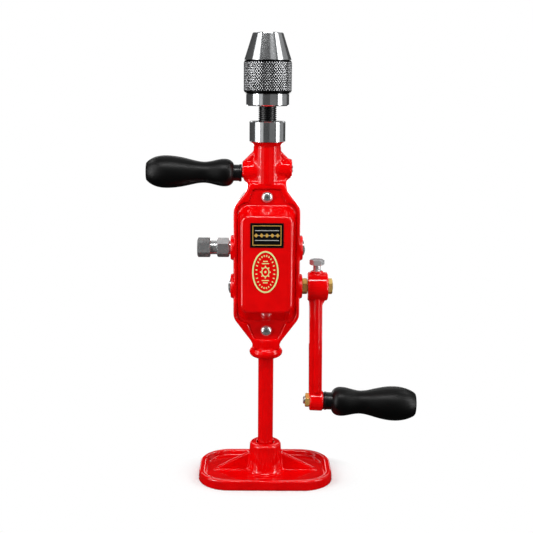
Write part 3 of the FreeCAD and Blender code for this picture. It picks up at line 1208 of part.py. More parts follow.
def crank_arm():
    hub = turned([
        (0, HUB_START), (HUB_RADIUS - 0.7, HUB_START), (HUB_RADIUS, HUB_START + 0.7),
        (HUB_RADIUS, HUB_END - HUB_ROUND), (HUB_RADIUS - HUB_ROUND * 0.3, HUB_END - HUB_ROUND * 0.3),
        (HUB_RADIUS - HUB_ROUND, HUB_END), (0, HUB_END),
    ])
    body = sideways(hub, CRANK_HEIGHT)
    eye = eye_centre()
    drift = eye.x - EYE_SHIFT - ARM_WIDTH / 2
    arm = Part.makeLoft([arm_section(ARM_START, ARM_HALF_DEPTH_TOP, CRANK_HEIGHT),
                         arm_section(drift, ARM_HALF_DEPTH_END, eye.z)], True, True)
    rib_front = ARM_HALF_DEPTH_TOP + RIB_HEIGHT
    rib_low = eye.z + EYE_RADIUS
    ribs = []
    for side in (-1, 1):
        corners = []
        for height, shift, depth in ((CRANK_HEIGHT, ARM_START, rib_front), (rib_low, drift, rib_front - 1.2)):
            left = shift + RIB_OFFSET - RIB_WIDTH / 2
            corners.append(rounded([
                Vector(left, 0, height), Vector(left, side * depth, height),
                Vector(left + RIB_WIDTH, side * depth, height), Vector(left + RIB_WIDTH, 0, height),
            ], [0, 0.8, 0.8, 0]))
        ribs.append(Part.makeLoft(corners, True, True))
    hub_middle = (HUB_START + HUB_END) / 2
    foot = CRANK_HEIGHT - GUSSET_DROP
    gusset = [
        Vector(HUB_START + 1.2, 0, CRANK_HEIGHT - 8), Vector(ARM_START, 0, foot),
        Vector(ARM_START + ARM_WIDTH, 0, foot), Vector(HUB_END - 2.2, 0, CRANK_HEIGHT - 11.5),
        Vector(hub_middle, 0, CRANK_HEIGHT - 2),
    ]
    gusset_face = Part.Face(Part.makePolygon(gusset + gusset[:1]))
    gusset_face.translate(Vector(0, -ARM_HALF_DEPTH_TOP + 1, 0))
    gusset_solid = gusset_face.extrude(Vector(0, 2 * ARM_HALF_DEPTH_TOP - 2, 0))
    eye_boss = at_eye(turned([
        (0, -EYE_HALF_LENGTH), (EYE_RADIUS - 0.8, -EYE_HALF_LENGTH), (EYE_RADIUS, 0.8 - EYE_HALF_LENGTH),
        (EYE_RADIUS, EYE_HALF_LENGTH - 0.8), (EYE_RADIUS - 0.8, EYE_HALF_LENGTH), (0, EYE_HALF_LENGTH),
    ]))
    lock_boss = turned([
        (0, 0), (LOCK_BOSS_RADIUS, 0), (LOCK_BOSS_RADIUS, HUB_RADIUS + LOCK_BOSS_RISE - 0.6),
        (LOCK_BOSS_RADIUS - 0.6, HUB_RADIUS + LOCK_BOSS_RISE), (0, HUB_RADIUS + LOCK_BOSS_RISE),
    ])
    lock_boss.translate(Vector(ARM_START + LOCK_SCREW_OFFSET, 0, CRANK_HEIGHT))
    body = body.fuse([arm, eye_boss, lock_boss, gusset_solid] + ribs)
    body = body.cut(sideways(bar(CRANK_JOURNAL + SEAT, 0, HUB_END + OVERRUN), CRANK_HEIGHT))
    body = body.cut(at_eye(bar(EYE_BORE, -ARM_WIDTH, ARM_WIDTH)))
    body = body.cut(at_eye(bar(PIN_SPOT_RADIUS, -ARM_WIDTH, -EYE_HALF_LENGTH)))
    body = body.cut(at_eye(bar(PIN_WASHER_RADIUS + 1, EYE_HALF_LENGTH, ARM_WIDTH)))
    return body.cut(lock_hole())


def lock_hole():
    hole = bar(LOCK_SCREW_RADIUS + SEAT, CRANK_JOURNAL - 1, LOCK_HEAD_TOP)
    hole.translate(Vector(ARM_START + LOCK_SCREW_OFFSET, 0, CRANK_HEIGHT))
    return hole


def crank_lock_screw():
    head = hexagon(LOCK_HEAD_FLATS, LOCK_HEAD_BOTTOM, LOCK_HEAD_TOP)
    screw = head.fuse(bar(LOCK_SCREW_RADIUS, CRANK_JOURNAL + SEAT, LOCK_HEAD_BOTTOM))
    screw.translate(Vector(ARM_START + LOCK_SCREW_OFFSET, 0, CRANK_HEIGHT))
    return screw


def crank_nut():
    nut = hexagon(BRASS_FLATS, HUB_END, HUB_END + END_NUT)
    return sideways(nut.cut(bar(CRANK_THREAD + SEAT, HUB_END - OVERRUN, HUB_END + OVERRUN + END_NUT)), CRANK_HEIGHT)


# Grips

def grip_profile(length, ball, ball_at, waist, waist_at, belly, belly_at, end):
    """Turned grip about Z from its ferrule end, as a row of edges."""
    throat = ball * 0.62
    points = [
        Vector(throat, 0, 0), Vector(ball * 0.93, 0, ball_at * 0.42), Vector(ball, 0, ball_at),
        Vector((ball + waist) / 2, 0, (ball_at + waist_at) / 2), Vector(waist, 0, waist_at),
        Vector((waist + belly) / 2, 0, (waist_at + belly_at) / 2), Vector(belly, 0, belly_at),
        Vector(belly * 0.93, 0, (belly_at + length) / 2 + 2), Vector(end + 1.4, 0, length - 1.2),
    ]
    curve = Part.BSplineCurve()
    curve.interpolate(points)
    shoulder = points[-1]
    rim = Vector(end, 0, length)
    axis_top = Vector(0, 0, length)
    return [
        curve.toShape(), line(shoulder, rim), line(rim, axis_top), line(axis_top, ORIGIN),
        line(ORIGIN, points[0]),
    ]


def crank_grip():
    grip = turned_edges(grip_profile(CRANK_GRIP_LENGTH, CRANK_BALL, CRANK_BALL_AT, CRANK_WAIST, CRANK_WAIST_AT,
                                     CRANK_BELLY, CRANK_BELLY_AT, CRANK_END))
    grip = grip.cut(bar(GRIP_BORE + RUN, -OVERRUN, CRANK_GRIP_LENGTH + OVERRUN))
    grip = grip.cut(bar(PIN_HEAD_RADIUS + 0.6, CRANK_GRIP_LENGTH - PIN_HEAD_DEPTH, CRANK_GRIP_LENGTH + OVERRUN))
    grip.translate(Vector(0, 0, crank_ferrule_start() + FERRULE_LENGTH))
    return at_eye(grip)


def crank_ferrule_start():
    return EYE_HALF_LENGTH + PIN_WASHER + FACE_GAP


def ferrule(radius, inner, start):
    """Turned ferrule with a bead at its mouth."""
    end = start + FERRULE_LENGTH
    return turned([
        (inner, start), (radius - 0.6, start), (radius, start + 0.6), (radius, start + 2.2),
        (radius - 0.5, start + 2.7), (radius - 0.5, end), (inner, end),
    ])


def crank_ferrule():
    return at_eye(ferrule(CRANK_FERRULE_RADIUS, PIN_RADIUS + RUN, crank_ferrule_start()))


def handle_washer():
    start = EYE_HALF_LENGTH
    return at_eye(tube(PIN_WASHER_RADIUS, EYE_BORE, start, start + PIN_WASHER))


def handle_pin():
    """Pin of the crank grip, with a head sunk in the grip's end."""
    left = -EYE_HALF_LENGTH - PIN_NUT - PIN_END
    shoulder = -EYE_HALF_LENGTH
    grip_end = crank_ferrule_start() + FERRULE_LENGTH + CRANK_GRIP_LENGTH
    head_start = grip_end - PIN_HEAD_DEPTH + FACE_GAP
    stud = CRANK_THREAD
    return at_eye(turned([
        (0, left), (stud - 0.6, left), (stud, left + 0.6), (stud, shoulder), (EYE_BORE - SEAT, shoulder),
        (EYE_BORE - SEAT, EYE_HALF_LENGTH + PIN_WASHER), (PIN_RADIUS, EYE_HALF_LENGTH + PIN_WASHER),
        (PIN_RADIUS, head_start), (PIN_HEAD_RADIUS, head_start), (PIN_HEAD_RADIUS, head_start + 1.0),
        (PIN_HEAD_RADIUS * 0.55, head_start + 2.0), (0, head_start + 2.2),
    ]))


def handle_pin_nut():
    end = -EYE_HALF_LENGTH
    nut = hexagon(LOCK_HEAD_FLATS, end - PIN_NUT, end)
    return at_eye(nut.cut(bar(CRANK_THREAD + SEAT, end - PIN_NUT - OVERRUN, end + OVERRUN)))


def at_boss(shape):
    """Lay a shape made along +Z along the side handle's stud, its zero on the drill's axis."""
    laid = shape.copy()
    laid.rotate(ORIGIN, Y_AXIS, HANDLE_TILT - 90)
    laid.translate(Vector(0, 0, HANDLE_HEIGHT - HANDLE_BOSS_REACH * math.sin(math.radians(HANDLE_TILT))))
    return laid


def side_grip():
    grip = turned_edges(grip_profile(SIDE_GRIP_LENGTH, SIDE_BALL, SIDE_BALL_AT, SIDE_WAIST, SIDE_WAIST_AT,
                                     SIDE_BELLY, SIDE_BELLY_AT, SIDE_END))
    grip = grip.cut(bar(PIN_RADIUS + SEAT, -OVERRUN, SIDE_GRIP_LENGTH * 0.6))
    grip.translate(Vector(0, 0, HANDLE_BOSS_REACH + 0.5 + FERRULE_LENGTH))
    return at_boss(grip)


def side_ferrule():
    start = HANDLE_BOSS_REACH + 0.5
    return at_boss(ferrule(SIDE_FERRULE_RADIUS, PIN_RADIUS + SEAT, start))


def side_stud():
    start = HANDLE_BOSS_REACH + 0.5
    end = start + FERRULE_LENGTH + SIDE_GRIP_LENGTH * 0.6
    return at_boss(turned([
        (0, HANDLE_BOSS_REACH - SIDE_STUD_DEPTH + 0.5), (SIDE_STUD_RADIUS, HANDLE_BOSS_REACH - SIDE_STUD_DEPTH + 0.5),
        (SIDE_STUD_RADIUS, start), (PIN_RADIUS, start), (PIN_RADIUS, end), (0, end),
    ]))


def boss_plug():
    face = HANDLE_BOSS_REACH
    plug = turned([
        (0, face - SIDE_STUD_DEPTH + 0.5), (BOSS_PLUG_RADIUS, face - SIDE_STUD_DEPTH + 0.5),
        (BOSS_PLUG_RADIUS, face + 0.2), (BOSS_PLUG_RADIUS - 0.6, face + 0.8), (0, face + 0.8),
    ])
    slot = block(Vector(-0.6, -BOSS_PLUG_RADIUS, face - 0.4), Vector(0.6, BOSS_PLUG_RADIUS, face + 2))
    return sideways(plug.cut(slot), RIGHT_BOSS_HEIGHT, 1)


def all_parts():
    upper_race = CASING_TOP + RACE_THICKNESS + 2 * BALL_RADIUS + 2 * BALL_PLAY
    return {
        "breast_plate": breast_plate(),
        "back_rod": back_rod(),
        "rod_pin": rod_pin(0),
        "rod_thrust_washer": thrust_washer(),
        "rod_keeper_pin": keeper_pin(0),
        "gear_casing": gear_casing(),
        "front_cover": front_cover(),
        "cover_gasket": cover_gasket(),
        "cover_screws": cover_screws(),
        "label_plate": label_plate(),
        "oval_badge": oval_badge(),
        "crank_shaft": crank_shaft(),
        "crank_gear_fast": crank_gear(FAST_CRANK_TEETH, FAST_GEAR_START, FAST_GEAR_END),
        "crank_gear_slow": crank_gear(SLOW_CRANK_TEETH, SLOW_GEAR_START, SLOW_GEAR_END),
        "crank_shaft_bush": shaft_bush(CRANK_HEIGHT, -1, CRANK_JOURNAL),
        "crank_hex_bush": crank_bush(),
        "layshaft": layshaft(),
        "layshaft_gear_fast": lay_gear(FAST_LAY_TEETH, FAST_GEAR_START, FAST_GEAR_END),
        "layshaft_gear_slow": lay_gear(SLOW_LAY_TEETH, SLOW_GEAR_START, SLOW_GEAR_END),
        "gear_spacer_ring": spacer_ring(),
        "layshaft_bush_left": shaft_bush(LAY_HEIGHT, -1, LAY_JOURNAL),
        "layshaft_bush_right": shaft_bush(LAY_HEIGHT, 1, LAY_JOURNAL),
        "bevel_wheel": bevel_wheel(),
        "bevel_wheel_pin": wheel_pin(0),
        "bevel_pinion": bevel_pinion(),
        "bevel_pinion_pin": pinion_pin(0),
        "draw_key": draw_key(),
        "shift_knob": shift_knob(),
        "shift_gland_nut": shift_gland(),
        "crank_boss_plug": boss_cap(CRANK_HEIGHT, -1),
        "layshaft_boss_plug": boss_cap(LAY_HEIGHT, 1),
        "spindle": spindle(),
        "spindle_collar": spindle_collar(),
        "spindle_bush_lower": spindle_bush(LOWER_BUSH_OUTER, SPINDLE_LOWER_RADIUS, CHAMBER_TOP, LOWER_BUSH_TOP),
        "spindle_bush_upper": spindle_bush(UPPER_BUSH_OUTER, SPINDLE_RADIUS, UPPER_BUSH_BOTTOM, CASING_TOP - 0.5),
        "thrust_race_lower": race(CASING_TOP),
        "thrust_race_upper": race(upper_race),
        "thrust_balls": thrust_balls(),
        "ball_cage": ball_cage(),
        "chuck_body": chuck_body(),
        "chuck_rear_collar": chuck_rear_collar(),
        "chuck_sleeve": chuck_sleeve(),
        "chuck_nut": chuck_nut(),
        "chuck_jaw_1": chuck_jaw(JAW_TURNS[0]),
        "chuck_jaw_2": chuck_jaw(JAW_TURNS[1]),
        "chuck_jaw_3": chuck_jaw(JAW_TURNS[2]),
        "crank_arm": crank_arm(),
        "crank_lock_screw": crank_lock_screw(),
        "crank_nut": crank_nut(),
        "handle_pin": handle_pin(),
        "handle_pin_nut": handle_pin_nut(),
        "handle_washer": handle_washer(),
        "crank_ferrule": crank_ferrule(),
        "crank_grip": crank_grip(),
        "side_stud": side_stud(),
        "side_ferrule": side_ferrule(),
        "side_grip": side_grip(),
        "boss_plug": boss_plug(),
    }


os.makedirs("parts", exist_ok=True)
for name, shape in all_parts().items():
    shape.exportStep("parts/" + name + ".step")
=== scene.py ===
import json
import math

import bmesh
import bpy
from mathutils import Matrix, Vector


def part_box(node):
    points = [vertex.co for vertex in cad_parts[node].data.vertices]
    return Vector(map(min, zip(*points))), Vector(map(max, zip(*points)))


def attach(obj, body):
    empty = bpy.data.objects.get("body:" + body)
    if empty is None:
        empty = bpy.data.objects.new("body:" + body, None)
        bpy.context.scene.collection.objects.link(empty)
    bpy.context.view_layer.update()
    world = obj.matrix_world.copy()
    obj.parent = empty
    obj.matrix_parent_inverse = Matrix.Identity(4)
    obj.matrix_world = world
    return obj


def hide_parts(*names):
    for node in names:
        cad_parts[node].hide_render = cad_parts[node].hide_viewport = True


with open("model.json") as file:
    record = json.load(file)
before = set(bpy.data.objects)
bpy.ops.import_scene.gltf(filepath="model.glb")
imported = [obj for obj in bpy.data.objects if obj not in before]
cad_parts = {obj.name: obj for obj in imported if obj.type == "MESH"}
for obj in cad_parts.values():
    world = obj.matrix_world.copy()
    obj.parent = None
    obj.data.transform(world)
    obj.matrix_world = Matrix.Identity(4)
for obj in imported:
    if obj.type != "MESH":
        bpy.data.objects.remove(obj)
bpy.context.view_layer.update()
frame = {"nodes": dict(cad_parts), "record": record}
scene = bpy.context.scene
nodes = frame["nodes"]

MM = 0.001


# Colours and materials

def colour(hex_code):
    """Linear colour of an sRGB hex value."""
    parts = [int(hex_code[i:i + 2], 16) / 255 for i in (1, 3, 5)]
    return [c / 12.92 if c <= 0.04045 else ((c + 0.055) / 1.055) ** 2.4 for c in parts] + [1.0]


def add_node(tree, kind, settings=None, inputs=None):
    """One node with its settings; an input is a value or another node's output."""
    node = tree.nodes.new(kind)
    for name, value in (settings or {}).items():
        setattr(node, name, value)
    for name, value in (inputs or {}).items():
        if isinstance(value, bpy.types.NodeSocket):
            tree.links.new(value, node.inputs[name])
        else:
            node.inputs[name].default_value = value
    return node


def new_material(name):
    """Material with a Principled surface, its node tree, and the coordinates of the object that wears it."""
    material = bpy.data.materials.new(name)
    material.use_nodes = True
    tree = material.node_tree
    tree.nodes.clear()
    surface = add_node(tree, "ShaderNodeBsdfPrincipled")
    add_node(tree, "ShaderNodeOutputMaterial", inputs={"Surface": surface.outputs["BSDF"]})
    where = add_node(tree, "ShaderNodeTexCoord").outputs["Object"]
    return material, tree, surface, where


def wander(tree, surface, where, scale, detail, low, high):
    """Base colour that wanders between two sRGB colours in soft patches."""
    patches = add_node(tree, "ShaderNodeTexNoise", inputs={"Vector": where, "Scale": scale, "Detail": detail})
    tint = add_node(tree, "ShaderNodeValToRGB", inputs={"Fac": patches.outputs["Fac"]})
    for stop, position, hex_code in zip(tint.color_ramp.elements, (0.35, 0.65), (low, high)):
        stop.position = position
        stop.color = colour(hex_code)
    tree.links.new(tint.outputs["Color"], surface.inputs["Base Color"])


def roughen(tree, where, scale, detail, strength, depth_mm, under=None):
    """Normal of a surface with fine unevenness depth_mm deep, laid over another unevenness where one is given."""
    heights = add_node(tree, "ShaderNodeTexNoise", inputs={"Vector": where, "Scale": scale, "Detail": detail})
    inputs = {"Height": heights.outputs["Fac"], "Strength": strength, "Distance": depth_mm * MM}
    if under:
        inputs["Normal"] = under
    return add_node(tree, "ShaderNodeBump", inputs=inputs).outputs["Normal"]


def stoved_red_enamel(name, ior, peel, sand):
    """Gloss stoving enamel on cast iron: a hard wet shine over orange peel and the mould's sand."""
    material, tree, surface, where = new_material(name)
    # the sprayed coat is a little deeper where it is thicker, in patches of about 12 mm
    wander(tree, surface, where, 80.0, 3.0, "#DE0103", "#EA0204")
    # orange peel of about 3 mm over the sand's grain of about 0.9 mm
    grain = roughen(tree, where, 1100.0, 2.0, sand, 0.1)
    skin = roughen(tree, where, 330.0, 1.0, peel, 0.15, grain)
    tree.links.new(skin, surface.inputs["Normal"])
    surface.inputs["Roughness"].default_value = 0.07
    surface.inputs["IOR"].default_value = ior
    return material


def lacquered_black_wood():
    """Turned wood under black lacquer: deep black with soft, wide highlights."""
    material, tree, surface, where = new_material("lacquered_black_wood")
    # pores of the wood, about 1 mm wide and 6 mm long, drawn under the lacquer along the grip
    along = add_node(tree, "ShaderNodeMapping", inputs={"Vector": where, "Scale": (160.0, 900.0, 900.0)})
    skin = roughen(tree, along.outputs["Vector"], 1.0, 2.0, 0.15, 0.06)
    tree.links.new(skin, surface.inputs["Normal"])
    surface.inputs["Base Color"].default_value = colour("#040404")
    surface.inputs["Roughness"].default_value = 0.4
    surface.inputs["IOR"].default_value = 1.32
    return material


def metal(name, low, high, roughness, mark_mm, depth_mm, stretch=(1.0, 1.0, 1.0), milky=0.0):
    """Bare metal between two sRGB colours, with tool marks mark_mm apart, drawn out where stretch is small.

    milky is the share of a fine dull film, as zinc plating and handled brass have, that catches light from all
    round.
    """
    material, tree, surface, where = new_material(name)
    # the tone wanders a little, in patches of about 8 mm
    wander(tree, surface, where, 120.0, 4.0, low, high)
    along = add_node(tree, "ShaderNodeMapping", inputs={"Vector": where, "Scale": stretch})
    skin = roughen(tree, along.outputs["Vector"], 1000.0 / mark_mm, 2.0, 0.3, depth_mm)
    tree.links.new(skin, surface.inputs["Normal"])
    surface.inputs["Metallic"].default_value = 1.0 - milky
    surface.inputs["Roughness"].default_value = roughness
    return material


def black_oxide_steel():
    """Steel blacked in a hot salt bath: dark, with a dull oily sheen that changes in spots of about 2.5 mm."""
    material, tree, surface, where = new_material("black_oxide_steel")
    bloom = add_node(tree, "ShaderNodeTexNoise", inputs={"Vector": where, "Scale": 400.0, "Detail": 3.0})
    sheen = add_node(tree, "ShaderNodeMapRange", inputs={
        "Value": bloom.outputs["Fac"], "To Min": 0.25, "To Max": 0.4})
    tree.links.new(sheen.outputs["Result"], surface.inputs["Roughness"])
    surface.inputs["Base Color"].default_value = colour("#08080A")
    surface.inputs["IOR"].default_value = 1.5
    return material


def rolled_knurl_steel():
    """Steel with a rolled knurl: bright points, and grooves darkened by painted shade and the dark oil they hold."""
    material, tree, surface, where = new_material("rolled_knurl_steel")
    flat = add_node(tree, "ShaderNodeVectorMath", {"operation": "MULTIPLY"}, {0: where, 1: (1.0, 1.0, 0.0)})
    radius = add_node(tree, "ShaderNodeVectorMath", {"operation": "LENGTH"}, {0: flat.outputs["Vector"]})
    # painted shade: the base colour darkens from the points down into the grooves, for the shade that falls there as
    # well as their oil
    height = add_node(tree, "ShaderNodeMapRange", inputs={
        "Value": radius.outputs["Value"], "From Min": KNURL_GROOVE + 0.1 * MM, "From Max": KNURL_POINT - 0.15 * MM})
    tint = add_node(tree, "ShaderNodeValToRGB", inputs={"Fac": height.outputs["Result"]})
    tint.color_ramp.elements[0].color = colour("#161617")
    tint.color_ramp.elements[1].color = colour("#D0D1D3")
    tree.links.new(tint.outputs["Color"], surface.inputs["Base Color"])
    surface.inputs["Metallic"].default_value = 1.0
    surface.inputs["Roughness"].default_value = 0.3
    return material


def printed_gloss(name, hex_code, roughness):
    """Printed enamel or ink: an even film with ripples of about 1.5 mm and a soft shine."""
    material, tree, surface, where = new_material(name)
    skin = roughen(tree, where, 700.0, 1.0, 0.1, 0.04)
    tree.links.new(skin, surface.inputs["Normal"])
    surface.inputs["Base Color"].default_value = colour(hex_code)
    surface.inputs["Roughness"].default_value = roughness
    surface.inputs["IOR"].default_value = 1.5
    return material


KNURL_DEPTH = 0.8 * MM
KNURL_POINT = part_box("chuck_sleeve")[1][0]
KNURL_GROOVE = KNURL_POINT - KNURL_DEPTH
# tool marks that run round the Z axis and round the X axis
ROUND_Z = (0.02, 0.02, 1.0)
ROUND_X = (1.0, 0.02, 0.02)
finishes = {
    "red_enamel": stoved_red_enamel("stoved_red_enamel", 1.55, 0.08, 0.04),
    "casing_enamel": stoved_red_enamel("stoved_red_enamel_on_sand_casting", 1.38, 0.2, 0.26),
    "cover_enamel": stoved_red_enamel("stoved_red_enamel_flatted", 1.7, 0.05, 0.02),
    "black_grip": lacquered_black_wood(),
    "black_steel": black_oxide_steel(),
    "brass": metal("turned_brass", "#DDB454", "#F6DA84", 0.26, 0.6, 0.008, ROUND_X, 0.5),
    "polished_steel": metal("fine_turned_steel", "#C6C8CA", "#D0D2D3", 0.13, 0.6, 0.0007, ROUND_Z, 0.07),
    "knurled_steel": rolled_knurl_steel(),
    "zinc_steel": metal("zinc_plated_steel", "#BCBEBF", "#D2D3D3", 0.2, 0.8, 0.003, ROUND_X, 0.24),
    "bright_zinc": metal("bright_zinc_plated_steel", "#D0D1D2", "#DCDDDE", 0.24, 0.8, 0.003, ROUND_X, 0.5),
    "machined_steel": metal("milled_steel", "#B0B2B4", "#C4C5C7", 0.36, 0.5, 0.01),
    "black_label": printed_gloss("black_label_enamel", "#070707", 0.25),
    "cream_paint": printed_gloss("cream_badge_enamel", "#DDE79A", 0.35),
    "gasket_fibre": printed_gloss("gasket_fibre", "#463F34", 0.8),
    "gold_print": printed_gloss("gold_printed_line", "#C39A48", 0.35),
    "silver_print": printed_gloss("silver_printed_line", "#B4B4B0", 0.35),
}


def dress(obj, slot):
    """Give an object one finish."""
    obj.data.materials.clear()
    obj.data.materials.append(finishes[slot])


slot_of = {row["node"]: row["material_slot"] for row in frame["record"]["subparts"]}
body_of = {node: body for body, members in frame["record"]["behaviour"]["bodies"].items()
           for node in members}
for node, slot in slot_of.items():
    dress(nodes[node], slot)


# Pieces that take a CAD node's place

def new_object(mesh, name):
    """Object with a mesh, linked to the scene."""
    piece = bpy.data.objects.new(name, mesh)
    scene.collection.objects.link(piece)
    return piece


def finish_mesh(form, name):
    """Close a bmesh into a new flat-shaded object whose faces point out."""
    bmesh.ops.remove_doubles(form, verts=form.verts, dist=0.000001)
    bmesh.ops.recalc_face_normals(form, faces=form.faces)
    for face in form.faces:
        face.smooth = False
    mesh = bpy.data.meshes.new(name)
    form.to_mesh(mesh)
    form.free()
    return new_object(mesh, name)


def stand_for(piece, node):
    """Put a piece in a node's place, on its body and in its finish."""
    dress(piece, slot_of[node])
    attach(piece, body_of[node])
    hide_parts(node)


def node_form(node):
    """A node's CAD mesh with its loose triangles joined."""
    form = bmesh.new()
    form.from_mesh(nodes[node].data)
    bmesh.ops.remove_doubles(form, verts=form.verts, dist=0.000001)
    return form


# Castings: the CAD form in a fine even mesh, its edges softened as sand moulding and paint leave them

def cast(node, name, grain_mm, passes, finish="red_enamel", paint_mm=0.0, behind=0.0, fillet=None):
    """Softened copy of a casting, in a mesh of grain_mm.

    paint_mm widens it sideways where it lies further back than behind, as paint does. fillet is a place that is
    softened further: lowest and highest z, least distance from the middle to the side, most distance front or back.
    """
    form = node_form(node)
    form.normal_update()
    for point in form.verts:
        if point.co.y > behind:
            point.co += Vector((point.normal.x, 0.0, point.normal.z)) * paint_mm * MM
    mesh = bpy.data.meshes.new(name)
    form.to_mesh(mesh)
    form.free()
    piece = new_object(mesh, name)
    even = piece.modifiers.new("even_mesh", "REMESH")
    even.mode = "VOXEL"
    even.voxel_size = grain_mm * MM
    soft = piece.modifiers.new("soft_edges", "SMOOTH")
    soft.factor = 0.5
    soft.iterations = passes
    bpy.context.view_layer.update()
    done = bpy.data.meshes.new_from_object(piece.evaluated_get(bpy.context.evaluated_depsgraph_get()))
    piece.modifiers.clear()
    piece.data = done
    if fillet:
        lowest, highest, inner, outer = fillet
        form = bmesh.new()
        form.from_mesh(done)
        soft_part = [point for point in form.verts if lowest < point.co.z < highest
                     and abs(point.co.x) > inner and abs(point.co.y) < outer]
        for _ in range(FILLET_PASSES):
            bmesh.ops.smooth_vert(form, verts=soft_part, factor=0.5,
                                  use_axis_x=True, use_axis_y=True, use_axis_z=True)
        form.to_mesh(done)
        form.free()
    for face in done.polygons:
        face.use_smooth = True
    stand_for(piece, node)
    dress(piece, finish)


FILLET_PASSES = 40
UNDER_HANDLE_BOSSES = (299.5 * MM, 311.5 * MM, 9.5 * MM, 20.0 * MM)
# paint bridges the narrow gap between the cover's flange and the casing round it
cover_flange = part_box("cover_gasket")[0][1] - 2.2 * MM
cast("gear_casing", "cast_gear_casing", 0.85, 4, "casing_enamel", fillet=UNDER_HANDLE_BOSSES)
cast("front_cover", "cast_front_cover", 0.6, 3, "cover_enamel", 0.7, cover_flange)
cast("breast_plate", "cast_breast_plate", 0.65, 4)
cast("crank_arm", "cast_crank_arm", 0.55, 5)


# Screws and nuts: the CAD form with its sharp edges broken, so that each edge catches a line of light

FLAT_ENOUGH = math.radians(1.0)
SHARP_TURN = math.radians(25.0)


def eased(node, name, width_mm, finish=None):
    """Copy of a node whose edges that turn sharply are rounded by width_mm, in its own finish or a given one."""
    form = node_form(node)
    bmesh.ops.dissolve_limit(form, angle_limit=FLAT_ENOUGH, verts=form.verts, edges=form.edges)
    sharp = [edge for edge in form.edges if edge.is_manifold and edge.calc_face_angle() > SHARP_TURN]
    bmesh.ops.bevel(form, geom=sharp, affect="EDGES", offset=width_mm * MM, offset_type="OFFSET", segments=2,
                    profile=0.5, material=-1, clamp_overlap=True)
    piece = finish_mesh(form, name)
    stand_for(piece, node)
    dress(piece, finish or slot_of[node])


for row in (("shift_gland_nut", "eased_gland_nut", 0.35),
            ("shift_knob", "eased_shift_knob", 0.35),
            ("crank_lock_screw", "eased_lock_screw", 0.3, "bright_zinc"),
            ("crank_hex_bush", "eased_hex_bush", 0.3),
            ("crank_nut", "eased_crank_nut", 0.3),
            ("handle_pin_nut", "eased_handle_nut", 0.3)):
    eased(*row)


# Chuck sleeve with a rolled diamond knurl

FULL_TURN = {"cent": (0, 0, 0), "axis": (0, 0, 1), "dvec": (0, 0, 0), "angle": 2 * math.pi,
             "use_merge": True, "use_duplicate": False}
# the real knurl has about 64 points round and 20 rows, drawn coarser so that it shows from where one stands
KNURL_ROUND = 56
KNURL_ROWS = 18
SLEEVE_BORE = 20.0 * MM


def draw_section(form, corners):
    """Join (radius, height) corners by a closed line in the XZ plane."""
    points = [form.verts.new((radius, 0.0, height)) for radius, height in corners]
    edges = [form.edges.new(pair) for pair in zip(points, points[1:] + points[:1])]
    return points, edges


low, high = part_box("chuck_sleeve")
sleeve_bottom, sleeve_top = low[2], high[2]
band_low = sleeve_bottom + 1.9 * MM
band_high = sleeve_top - 1.2 * MM
form = bmesh.new()
edges = draw_section(form, [
    (SLEEVE_BORE, sleeve_bottom), (KNURL_GROOVE - 1.2 * MM, sleeve_bottom), (KNURL_GROOVE, sleeve_bottom + 1.5 * MM),
    (KNURL_GROOVE, band_low), (KNURL_GROOVE, band_high), (KNURL_GROOVE, sleeve_top - 0.8 * MM),
    (KNURL_GROOVE - 0.8 * MM, sleeve_top), (SLEEVE_BORE, sleeve_top)])[1]
knurled_edge = edges[3]
bmesh.ops.subdivide_edges(form, edges=[knurled_edge], cuts=KNURL_ROWS - 1)
bmesh.ops.spin(form, geom=form.verts[:] + form.edges[:], steps=2 * KNURL_ROUND, **FULL_TURN)
row_height = (band_high - band_low) / KNURL_ROWS
for point in form.verts:
    row = (point.co.z - band_low) / row_height
    if point.co.xy.length > KNURL_GROOVE - 0.01 * MM and 0.5 < row < KNURL_ROWS - 0.5:
        column = round(math.atan2(point.co.y, point.co.x) / (math.pi / KNURL_ROUND))
        if (column + round(row)) % 2 == 0:
            point.co.xy *= KNURL_POINT / point.co.xy.length
band = [face for face in form.faces if band_low < face.calc_center_median().z < band_high
        and face.calc_center_median().xy.length > KNURL_GROOVE - 0.5 * MM]
bmesh.ops.triangulate(form, faces=band, quad_method="SHORT_EDGE")
stand_for(finish_mesh(form, "knurled_chuck_sleeve"), "chuck_sleeve")


# Spindle with its screw thread, which shows between the collar and the chuck

THREAD_PITCH = 2.0 * MM
THREAD_STEPS = 48
THREAD_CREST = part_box("spindle")[1][0]
THREAD_ROOT = THREAD_CREST - 0.9 * MM
# half the width of the thread at its foot and at its crest, and how far it stops short of the plain ends
THREAD_FOOT, THREAD_FLAT = 0.9 * MM, 0.5 * MM
THREAD_RUN_OUT = 0.2 * MM
thread_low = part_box("spindle_collar")[1][2] - 0.8 * MM
thread_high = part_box("chuck_body")[0][2] + 0.8 * MM


def cut_off(form, height, above):
    """Cut a solid level at a height, throw away what lies above it or else below it, and close the cut."""
    cut = bmesh.ops.bisect_plane(form, geom=form.verts[:] + form.edges[:] + form.faces[:], dist=0.0000001,
                                 plane_co=(0, 0, height), plane_no=(0, 0, 1),
                                 clear_outer=above, clear_inner=not above)
    rim = [item for item in cut["geom_cut"] if isinstance(item, bmesh.types.BMEdge)]
    bmesh.ops.edgeloop_fill(form, edges=rim)
    return form


